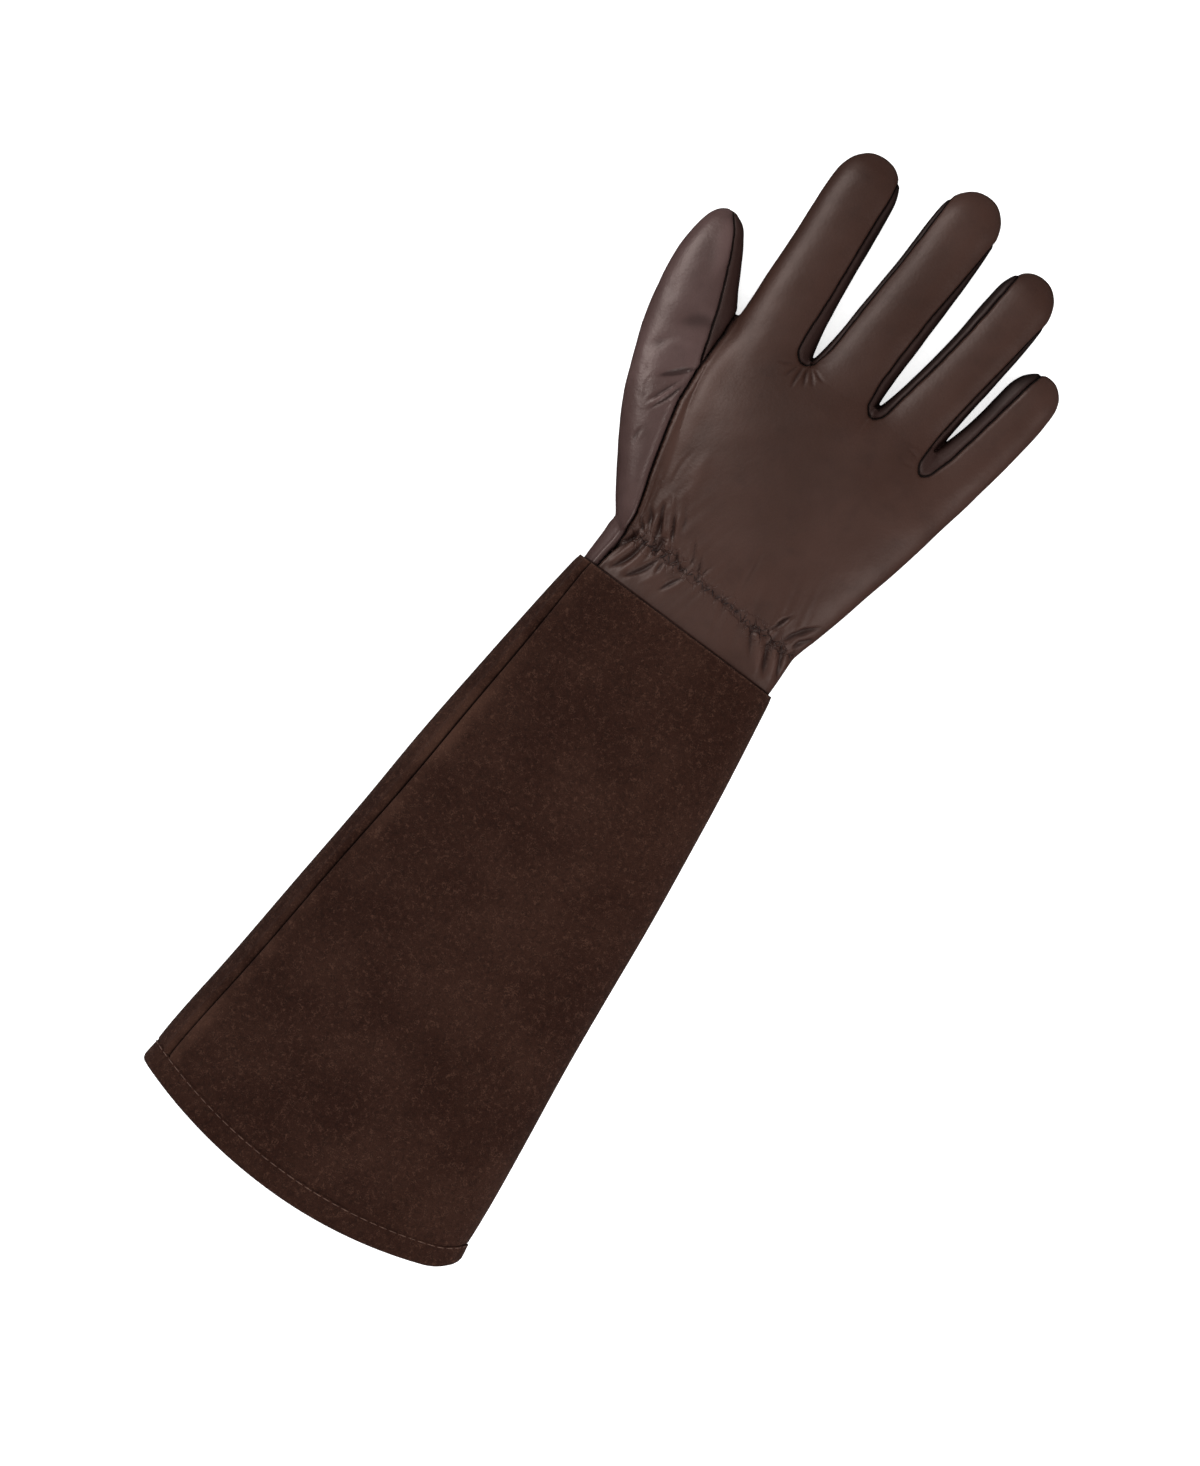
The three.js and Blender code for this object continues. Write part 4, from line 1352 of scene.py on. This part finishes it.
    def relief(self, p: Points, normal: Points, panel: Points) -> Points:
        """Folds, gathers and soft unevenness of the leather.

        Args:
            p: places in plan millimetres.
            normal: direction of the surface at each place.
            panel: the panel of each place.

        Returns:
            Height along the normal, in millimetres.
        """
        up = np.clip(normal[:, 2] * 1.6, 0, 1)
        on_thumb = (panel == PANELS.index(Panel.THUMB_BACK)) | (panel == PANELS.index(Panel.THUMB_FRONT))
        top = (p[:, 2] > self.side_seam) & (normal[:, 2] > 0.05)
        height = self.fold_gain * self.fold_height(p, self.folds, top & ~on_thumb)
        height += self.fold_height(p, self.tucks(), top & ~on_thumb)
        height += self.fold_height(p, self.thumb_folds, top & on_thumb)
        height += np.where(on_thumb, 0.3, 1.0) * self.gathers(p) * ramp(p[:, 1], 1.0, 4.0)
        height = height * up
        height += 0.14 * waves(p, 34.0, 5) + 0.08 * waves(p, 13.0, 9)
        height += 0.05 * waves(p, 4.2, 12) * bell(p[:, 1], 68, 14) * on_thumb * up
        return np.maximum(height, -p[:, 2])

    def groove(self, p: Points, away: Points) -> Points:
        """Groove along each seam, with the small puff beside it.

        It is deeper along the narrow strip that runs from the thumb to the cuff.

        Args:
            p: places in plan millimetres.
            away: distance of each from the nearest seam.

        Returns:
            Height along the normal, in millimetres.
        """
        strip = ramp(p[:, 0], -32, -3) * ramp(p[:, 1], 98, -14)
        strip *= ramp(p[:, 2], self.side_seam, 2)
        depth = blend(0.65, 1.15, strip)
        puff = blend(0.12, 0.6, strip)
        return -depth * bell(away, 0, 0.8) + puff * bell(away, 1.7, 0.85)

    def run_seams(self, p: Points, quads: Points, edges: Points, seams: Points) -> Points:
        """Evens the seams' lines and keeps them and the skin near them on the form.

        Args:
            p: places of the skin's points.
            quads: its faces.
            edges: pairs of neighbours.
            seams: the edges that lie on a seam.

        Returns:
            The moved places.
        """
        tree = BVHTree.FromPolygons(p.tolist(), quads.tolist())
        on_seam = np.zeros(len(p), bool)
        on_seam[seams.ravel()] = True
        p = relax(p, seams, 14, 0.5, on_seam)
        close = on_seam.copy()
        for _ in range(3):
            grown = close.copy()
            grown[edges[close[edges[:, 0]], 1]] = True
            grown[edges[close[edges[:, 1]], 0]] = True
            close = grown
        p = relax(p, edges, 4, 0.5, close & ~on_seam)
        for i in np.flatnonzero(close):
            spot = tree.find_nearest(Vector(p[i]))[0]
            if spot is not None:
                p[i] = spot
        return p

    def build(self) -> list[bpy.types.Object]:
        """Makes the seven panels of the hand.

        Returns:
            The panels, in the order of PANELS.
        """
        skin = self.form()
        p = mesh_points(skin)
        edges = read_numbers(skin.edges, "vertices", 2, 2, np.int64)
        quads = read_numbers(skin.loops, "vertex_index", 1, 4, np.int64)
        LOG.info("hand form: %d points, %d faces", len(p), len(quads))
        # Moving out again after each evening keeps the form from shrinking
        for _ in range(4):
            p = relax(p, edges, 2, 0.5)
            p = relax(p, edges, 2, -0.48)
        p = relax(p, edges, 2, 0.5)
        p = self.ease_joints(p, quads, edges)
        panel = self.panel_of(p[quads].mean(axis=1))
        sides, one, other = self.shared_edges(quads, len(p))
        panel = self.even_panels(panel, one, other)
        seams = sides[panel[one] != panel[other]]
        p = self.run_seams(p, quads, edges, seams)
        away = distance_to([*p[np.unique(seams)], *((p[seams[:, 0]] + p[seams[:, 1]]) / 2)], p)
        set_points(skin, p)
        normal = read_numbers(skin.vertex_normals, "vector", 3, 3)
        owner = np.zeros(len(p), np.int64)
        owner[quads.ravel()] = np.repeat(panel, 4)
        relief = self.relief(p, normal, owner)
        raised = p + normal * ((self.groove(p, away) + relief) * ramp(p[:, 2], 0, 1.5))[:, None]
        raised[:, 2] = np.maximum(raised[:, 2], 0.0)
        set_points(skin, raised)
        # The leather just above the cuff's top edge counts as seam, so that a painted shadow of the cuff's
        # edge lies there
        from_cuff = np.maximum(p[:, 1] - Cuff().upper_edge(p[:, 0]), 0.0)
        from_cuff += np.where(p[:, 1] < -1.5, self.seam_reach, 0.0)
        add_value(skin, "seam", np.minimum(np.minimum(away, from_cuff + 0.05), self.seam_reach))
        add_value(skin, "fold", np.clip(relief, -1, 1))
        add_value(skin, "crumple", self.crumpled(p, owner))
        add_value(skin, "pucker", self.puckered(p, owner))
        return [self.cut_out(skin, panel, k) for k in range(len(PANELS))]

    def cut_out(self, skin: bpy.types.Mesh, panel: Points, which: int) -> bpy.types.Object:
        """Keeps one panel's faces of the whole skin as its own piece.

        Args:
            skin: the whole skin.
            panel: panel of each of its faces.
            which: the panel wanted, as a place in PANELS.

        Returns:
            The piece.
        """
        bm = bmesh.new()
        bm.from_mesh(skin)
        bm.faces.ensure_lookup_table()
        others = [bm.faces[int(i)] for i in np.flatnonzero(panel != which)]
        bmesh.ops.delete(bm, geom=others, context="FACES")
        name = PANELS[which].value + "_leather"
        mesh = finished(bm, name)
        to_frame(mesh)
        piece = new_object(name, mesh)
        thicken(piece, self.wall)
        return piece

    def dress(self, pieces: list[bpy.types.Object]) -> None:
        """Gives each panel its leather and its place in the frame.

        Args:
            pieces: the panels, in the order of PANELS.
        """
        leather = SmoothLeather().make()
        # Painted shade: the fourchettes between the fingers get a darker copy of the leather, darker still
        # towards the floor
        shaded = SmoothLeather("smooth_leather_gap_shaded", tone(39, 22, 19), tone(54, 34, 30), tone(11, 4, 4),
                               gloss=0.6, shade_below=0.92).make()
        # Painted shade: the thumb's front gets a darker copy of the leather
        shaded_front = SmoothLeather("smooth_leather_front_shaded", tone(40, 23, 20), tone(58, 38, 34), tone(10, 4, 4),
                              gloss=0.55).make()
        # Painted light: the thumb's back gets a paler copy of the leather, as if lit from its side
        outer = SmoothLeather("smooth_leather_thumb_lit", tone(56, 38, 35), tone(90, 70, 68), tone(26, 12, 11),
                              gloss=0.4).make()
        finishes = {
            Panel.BACK: leather,
            Panel.PALM: leather,
            Panel.THUMB_FRONT: shaded_front,
            Panel.THUMB_BACK: outer,
        }
        for panel, piece in zip(PANELS, pieces):
            piece.data.materials.append(finishes.get(panel, shaded))
            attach(piece, "root")
            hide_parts(panel.value)
            LOG.info("%s: %d faces", piece.name, len(piece.data.polygons))


# The cuff
@dataclass(frozen=True)
class CuffRow:
    """One section of the cuff, in shares: 0 at the mouth, 1 at the top edge."""

    along: float
    spread: float
    rise: float
    seam: float


@dataclass
class Cuff:
    """Suede cuff: one sheet wrapped round with its closing seam on top, near the thumb's side."""

    length: float = 263.0
    top_width: float = 91.3
    mouth_width: float = 143.0
    top_height: float = 27.0
    mouth_height: float = 40.0
    bow: float = 14.0
    bow_left: float = 12.7
    tilt: float = 2.6
    wall: float = 1.8
    binding: float = 1.0
    binding_width: float = 9.5
    gap: float = 0.3
    skived: float = 0.3
    flush: float = 0.65
    corner_right: float = 4.0
    corner_left: float = -0.2
    mouth_lift: float = 0.6
    lifted_at: float = 0.046
    resting_at: float = 0.09
    centre: float = -1.21
    roundness: float = 2.6
    facets: tuple = (230, 170)
    hem_facets: tuple = (240, 36)
    seam_reach: float = 12.0
    edge_reach: float = 6.0
    rows: tuple = (
        CuffRow(0.000, 1.000, 1.00, 0.905),
        CuffRow(0.046, 0.985, 0.98, 0.903),
        CuffRow(0.090, 0.955, 0.95, 0.900),
        CuffRow(0.200, 0.850, 0.86, 0.893),
        CuffRow(0.350, 0.705, 0.72, 0.880),
        CuffRow(0.500, 0.570, 0.57, 0.868),
        CuffRow(0.650, 0.440, 0.42, 0.857),
        CuffRow(0.800, 0.275, 0.26, 0.858),
        CuffRow(0.900, 0.140, 0.12, 0.868),
        CuffRow(1.000, 0.000, 0.00, 0.890),
    )

    def upper_edge(self, x: Points) -> Points:
        """Place along of the top edge."""
        return 0.3 * self.tilt - self.tilt * (x - self.centre) / self.top_width

    def point(self, angle: Points, share: Points, out: Points, beyond: Points) -> Points:
        """Points of the sheet.

        Args:
            angle: place round the cuff.
            share: place from the mouth, 0, to the top edge, 1.
            out: distance out from the outer face.
            beyond: distance out past the mouth.

        Returns:
            Places in plan millimetres.
        """
        edge = self.binding + self.gap
        spread, rise = read_rows(self.rows, ("spread", "rise"), share)
        half = blend(self.top_width, self.mouth_width - 2 * edge, spread) / 2 + out
        top = blend(self.top_height, self.mouth_height - edge, rise) + out
        lift = edge * ramp(share, self.resting_at, self.lifted_at - self.resting_at)
        x, z = section_point(self.centre, half, lift - out, top, self.roundness, angle)
        side = 2 * (x - self.centre) / self.mouth_width
        corner = np.where(side > 0, self.corner_right, self.corner_left)
        bow = np.where(side > 0, self.bow, self.bow_left)
        mouth = -self.length + edge + bow * side * side + self.mouth_lift
        mouth = mouth + corner * np.clip((np.abs(side) - 0.84) / 0.16, 0, 1.1) ** 2.4
        return np.stack([x, blend(mouth, self.upper_edge(x), share) - beyond, z], axis=1)

    def sheet_point(self, u: Points, w: Points) -> Points:
        """Outer face of the sheet, its two sides rolled in where they meet.

        Args:
            u: shares round it, from one side to the other.
            w: shares along it, from the mouth.

        Returns:
            Places in plan millimetres.
        """
        bent = u - 0.018 * np.sin(2 * np.pi * u)
        w = w - 0.6 * np.sin(2 * np.pi * w) / (2 * np.pi)
        seam = np.clip(read_rows(self.rows, ("seam",), w)[0], 0, 1) ** (self.roundness / 2)
        turn = np.pi - np.arccos(seam) + 2 * np.pi * np.clip(bent, 0, 1)
        none = np.zeros_like(w)
        flat = self.point(turn, w, none, none)
        free = np.where(flat[:, 2] < 2.0, 0, 1)
        away = np.minimum(u, 1 - u) * blend(240.0, 350.0, 1 - w)
        roll = -1.7 * bell(away, 0, 1.1) + 0.75 * bell(away, 4.0, 2.8)
        soft = 0.45 * waves(flat, 70.0, 21) * free
        edge = -0.25 * bell((1 - w) * self.length, 0, 2.0)
        up = w * self.length - (self.binding_width - self.gap - self.binding)
        flare = self.flush * ramp(up, 0, 0.8) * bell(np.maximum(up, 0), 0, 45.0)
        return self.point(turn, w, roll + soft + edge + flare * free, none)

    def sheet(self) -> bpy.types.Object:
        """Makes the wrapped sheet.

        Returns:
            The piece.
        """
        bm = bmesh.new()
        tube(bm, *self.facets, self.sheet_point, close=False)
        bmesh.ops.recalc_face_normals(bm, faces=bm.faces)
        mesh = finished(bm, "cuff_suede")
        self.face_out(mesh)
        p = mesh_points(mesh)
        below = self.upper_edge(p[:, 0]) - p[:, 1]
        at_sides = on_rim(mesh) & (below > 0.5) & (p[:, 1] > 6 - self.length)
        seam = distance_to(p[at_sides], p)
        seam[at_sides] = 0.0
        add_value(mesh, "seam", np.minimum(seam, self.seam_reach))
        add_value(mesh, "edge", np.clip(below, 0, self.edge_reach))
        to_frame(mesh)
        piece = new_object("cuff_suede", mesh)
        thicken(piece, self.wall - 0.1)
        return piece

    @staticmethod
    def face_out(mesh: bpy.types.Mesh) -> None:
        """Turns an open tube's faces away from its middle.

        Args:
            mesh: the tube.
        """
        centre = mesh_points(mesh).mean(axis=0)
        total = 0.0
        for face in mesh.polygons:
            x, _, z = np.array(face.center) - centre
            total += face.normal.x * x + face.normal.z * z
        if total < 0:
            mesh.flip_normals()

    def hem_profile(self) -> Points:
        """Section of the folded strip: how far up from the edge, and how far out.

        Returns:
            Its corners in order.
        """
        near, far = self.gap, self.gap + self.binding
        tall = self.binding_width - far
        wall = self.wall
        thin = near + self.skived
        return np.array([
            (tall, near),
            (tall + 0.1, near + 0.2),
            (tall - 0.15, thin),
            (tall - 1.4, thin + 0.15),
            (4.0, far - 0.25),
            (0.8, far - 0.02),
            (-0.55, far - 0.38),
            (-1.15, near - 0.1),
            (-far, -wall / 2),
            (-1.15, -wall - near),
            (-0.4, -wall - far + 0.3),
            (1.2, -wall - far),
            (tall, -wall - far),
            (tall, -wall - near),
            (3.0, -wall - near),
            (-near, -wall - near),
            (-near, near),
            (3.0, near),
        ])

    def hem_point(self, u: Points, w: Points) -> Points:
        """Skin of the folded strip.

        Args:
            u: shares round the mouth.
            w: shares round the strip's own section.

        Returns:
            Places in plan millimetres.
        """
        profile = self.hem_profile()
        spot = w * len(profile)
        low = np.floor(spot).astype(int) % len(profile)
        t = (spot - np.floor(spot))[:, None]
        up, out = (profile[low] * (1 - t) + profile[(low + 1) % len(profile)] * t).T
        angle = math.tau * u + math.pi
        share = np.maximum(up, 0) / self.length
        drop = np.maximum(-up, 0)
        base = self.point(angle, share, out, drop)
        soft = 0.12 * waves(base, 26.0, 31) * (out > 0)
        return self.point(angle, share, out + soft, drop)

    def hem(self) -> bpy.types.Object:
        """Makes the strip of suede folded over the mouth's edge.

        Returns:
            The piece.
        """
        bm = bmesh.new()
        tube(bm, *self.hem_facets, self.hem_point, close=False)
        bmesh.ops.remove_doubles(bm, verts=bm.verts, dist=1e-3)
        bmesh.ops.recalc_face_normals(bm, faces=bm.faces)
        mesh = finished(bm, "hem_suede")
        p = mesh_points(mesh)
        p[:, 2] = np.maximum(p[:, 2], 0.0)
        set_points(mesh, p)
        add_value(mesh, "seam", np.full(len(p), self.seam_reach))
        add_value(mesh, "edge", np.full(len(p), self.edge_reach))
        to_frame(mesh)
        return new_object("hem_suede", mesh)

    def dress(self, sheet: bpy.types.Object, hem: bpy.types.Object) -> None:
        """Gives the suede pieces their finish and their place in the frame.

        Args:
            sheet: the wrapped sheet.
            hem: the folded strip.
        """
        suede = Suede().make()
        for piece, node in ((sheet, "cuff_panel"), (hem, "hem_binding")):
            piece.data.materials.append(suede)
            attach(piece, "root")
            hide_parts(node)
            LOG.info("%s: %d faces", piece.name, len(piece.data.polygons))


# Stitches
def stitched(line: Points, long: float, space: float) -> list[tuple[Vector, Vector]]:
    """Cuts a line into stitches.

    Args:
        line: points along it.
        long: length of a stitch.
        space: leather between two stitches.

    Returns:
        Both ends of each stitch.
    """
    length = np.concatenate([[0], np.cumsum(np.linalg.norm(np.diff(line, axis=0), axis=1))])
    starts = np.arange(0, length[-1] - long, long + space)

    def at(place: float) -> Vector:
        """Point at a length along the line."""
        return Vector([float(np.interp(place, length, line[:, k])) for k in range(3)])

    return [(at(start), at(start + long)) for start in starts]


def leather_tree(pieces: Iterable[bpy.types.Object]) -> BVHTree:
    """Surface of the finished panels, for what lies on them.

    Args:
        pieces: the panels.

    Returns:
        A tree that rays can be cast at.
    """
    bm = bmesh.new()
    for piece in pieces:
        bm.from_mesh(piece.data)
    tree = BVHTree.FromBMesh(bm)
    bm.free()
    return tree


@dataclass
class Stitches:
    """Rows of single stitches that lie on the leather and suede."""

    cuff: Cuff
    hand: Hand
    thread: float = 0.2
    hem_below_edge: float = 1.9
    thumb_off_seam: float = 3.6

    def row(self, name: str, ends: Sequence[tuple[Vector, Vector]], finish: bpy.types.Material,
            slot: str) -> None:
        """Makes one row.

        Args:
            name: name of the piece.
            ends: both ends of each stitch, in plan millimetres.
            finish: the thread's material.
            slot: not used.
        """
        bm = bmesh.new()
        for a, b in ends:
            made = bmesh.ops.create_icosphere(bm, subdivisions=2, radius=1.0)["verts"]
            span = b - a
            turn = Vector((1, 0, 0)).rotation_difference(span.normalized())
            for vert in made:
                x, y, z = vert.co
                flat = Vector((x * span.length * 0.56, y * self.thread, z * self.thread * 0.8))
                vert.co = turn @ flat + (a + b) / 2
        mesh = finished(bm, name)
        to_frame(mesh)
        piece = new_object(name, mesh)
        piece.data.materials.append(finish)
        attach(piece, "root")
        LOG.info("%s: %d stitches", name, len(ends))

    def hem_row(self) -> None:
        """Topstitch that holds the binding, seen all round the mouth."""
        angle = np.linspace(0, 2 * np.pi, 1200, endpoint=False)
        share = np.full(len(angle), (self.cuff.binding_width - self.hem_below_edge) / self.cuff.length)
        out = np.full(len(angle), self.cuff.gap + self.cuff.skived + self.thread)
        line = self.cuff.point(angle, share, out, np.zeros(len(angle)))
        line[:, 2] = np.maximum(line[:, 2], 0.25)
        finish = Thread("hem_thread", tone(64, 43, 35), tone(104, 78, 66)).make()
        self.row("hem_stitches", stitched(line, 3.0, 1.0), finish, "suede")

    def settle(self, line: Points, tree: BVHTree, proud: float, from_below: bool) -> Points:
        """Lays a plan line on the leather.

        Args:
            line: the plan line.
            tree: the leather's surface.
            proud: how far the line stands off it.
            from_below: on the underside, or on top.

        Returns:
            Points along the line.
        """
        origin = Vector(PLAN_TO_FRAME)
        height, way = (-20.0, 1.0) if from_below else (80.0, -1.0)
        placed = []
        for x, y in line:
            start = (Vector((x, y, height)) + origin) * MILLIMETRE
            spot, normal, _, _ = tree.ray_cast(start, Vector((0, 0, way)))
            if spot is not None:
                placed.append(tuple((spot + normal * proud * MILLIMETRE) / MILLIMETRE - origin))
        return np.array(placed)

    def wrist_row(self, tree: BVHTree) -> None:
        """Zigzag through leather and elastic across the back of the wrist.

        Args:
            tree: the leather's surface.
        """
        line = through(self.hand.elastic_line, 12)
        rng = np.random.default_rng(23)
        places = -36.5 + np.cumsum(rng.uniform(1.5, 2.9, 36))
        places = places[places < 42]
        level = np.interp(places, line[:, 0], line[:, 1])
        swing = np.where(np.arange(len(places)) % 2, 1.0, -1.0) * rng.uniform(0.4, 2.3, len(places))
        dots = self.settle(np.stack([places, level + swing], axis=1), tree, 0.06, from_below=False)
        pairs = [(Vector(a), Vector(b)) for a, b in zip(dots[:-1], dots[1:])]
        ends = [(a.lerp(b, 0.16), a.lerp(b, 0.84)) for a, b in pairs]
        finish = Thread("wrist_thread", tone(24, 11, 9), tone(56, 38, 33)).make()
        self.row("wrist_stitches", ends, finish, "smooth_leather")

    def thumb_row(self, tree: BVHTree) -> None:
        """Topstitch round the thumb's base, in the palm.

        Args:
            tree: the leather's surface.
        """
        base = through(self.hand.thumb_base, 10)
        way = np.gradient(base, axis=0)
        way /= np.linalg.norm(way, axis=1)[:, None]
        side = base + np.stack([-way[:, 1], way[:, 0]], axis=1) * self.thumb_off_seam
        line = self.settle(side[8:-14], tree, 0.05, from_below=True)
        line[:, 2] = np.maximum(line[:, 2], self.thread)
        finish = Thread("thumb_thread", tone(86, 66, 58), tone(120, 96, 84)).make()
        self.row("thumb_stitches", stitched(line, 2.4, 1.0), finish, "smooth_leather")


# Floor, light and camera
@dataclass(frozen=True)
class Lamp:
    """One soft square light aimed at the glove: place and side in metres, watts, and where it shows."""

    name: str
    where: tuple
    side: float
    watts: float
    in_gloss: bool = True
    on_matte: bool = True


@dataclass
class Studio:
    """Pale floor, soft light and the straight-down view."""

    view_height: float = 4.2
    glove_height: float = 0.015
    turn: float = math.radians(35.21)
    frame_centre: tuple = (0.0052, -0.0191)
    frame_height: float = 0.557
    floor_half: float = 3.0
    floor_drop: float = 0.0006
    sky: float = 0.8
    lamps: tuple = (
        Lamp("key", (-1.25, 0.25, 1.15), 1.1, 10.0),
        Lamp("gloss", (-1.45, 0.35, 0.95), 0.9, 16.0, on_matte=False),
        Lamp("fill", (1.45, -0.45, 0.70), 0.9, 11.0),
        Lamp("over", (0.0, 0.0, 2.6), 2.8, 30.0, in_gloss=False),
    )

    def build(self) -> None:
        """Sets the floor, the lights and the camera."""
        self.floor()
        for lamp in self.lamps:
            self.light(lamp)
        world = bpy.data.worlds.new("studio")
        bpy.context.scene.world = world
        world.use_nodes = True
        background = world.node_tree.nodes["Background"]
        background.inputs["Color"].default_value = (1.0, 1.0, 1.0, 1.0)
        background.inputs["Strength"].default_value = self.sky
        world.cycles_visibility.glossy = False
        bpy.context.scene.view_settings.view_transform = "Standard"
        self.camera()

    def floor(self) -> None:
        """Lays the floor just under the glove, unseen in its gloss."""
        bm = bmesh.new()
        bmesh.ops.create_grid(bm, x_segments=1, y_segments=1, size=self.floor_half)
        floor = new_object("floor", finished(bm, "floor"))
        floor.location.z = -self.floor_drop
        floor.data.materials.append(Paper().make())
        floor.visible_glossy = False

    def light(self, lamp: Lamp) -> None:
        """Adds one light.

        Args:
            lamp: its sizes.
        """
        data = bpy.data.lights.new(lamp.name, "AREA")
        data.shape = "SQUARE"
        data.size = lamp.side
        data.energy = lamp.watts
        holder = bpy.data.objects.new(lamp.name, data)
        holder.location = lamp.where
        holder.rotation_euler = (-Vector(lamp.where)).to_track_quat("-Z", "Y").to_euler()
        holder.visible_glossy = lamp.in_gloss
        holder.visible_diffuse = lamp.on_matte
        bpy.context.scene.collection.objects.link(holder)

    def camera(self) -> None:
        """Adds the camera at the photograph's angle and frame."""
        data = bpy.data.cameras.new("camera")
        data.sensor_fit = "VERTICAL"
        data.sensor_height = 24.0
        data.lens = data.sensor_height * (self.view_height - self.glove_height) / self.frame_height
        eye = bpy.data.objects.new("camera", data)
        eye.location = (*self.frame_centre, self.view_height)
        eye.rotation_euler = (0.0, 0.0, self.turn)
        bpy.context.scene.collection.objects.link(eye)
        bpy.context.scene.camera = eye


def main() -> None:
    """Builds the gauntlet piece by piece."""
    logging.basicConfig(level=logging.INFO, format="%(name)s: %(message)s")
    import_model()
    Studio().build()
    hand = Hand()
    panels = hand.build()
    hand.dress(panels)
    cuff = Cuff()
    cuff.dress(cuff.sheet(), cuff.hem())
    tree = leather_tree(panels)
    stitches = Stitches(cuff, hand)
    stitches.hem_row()
    stitches.wrist_row(tree)
    stitches.thumb_row(tree)


if __name__ == "__main__":
    main()
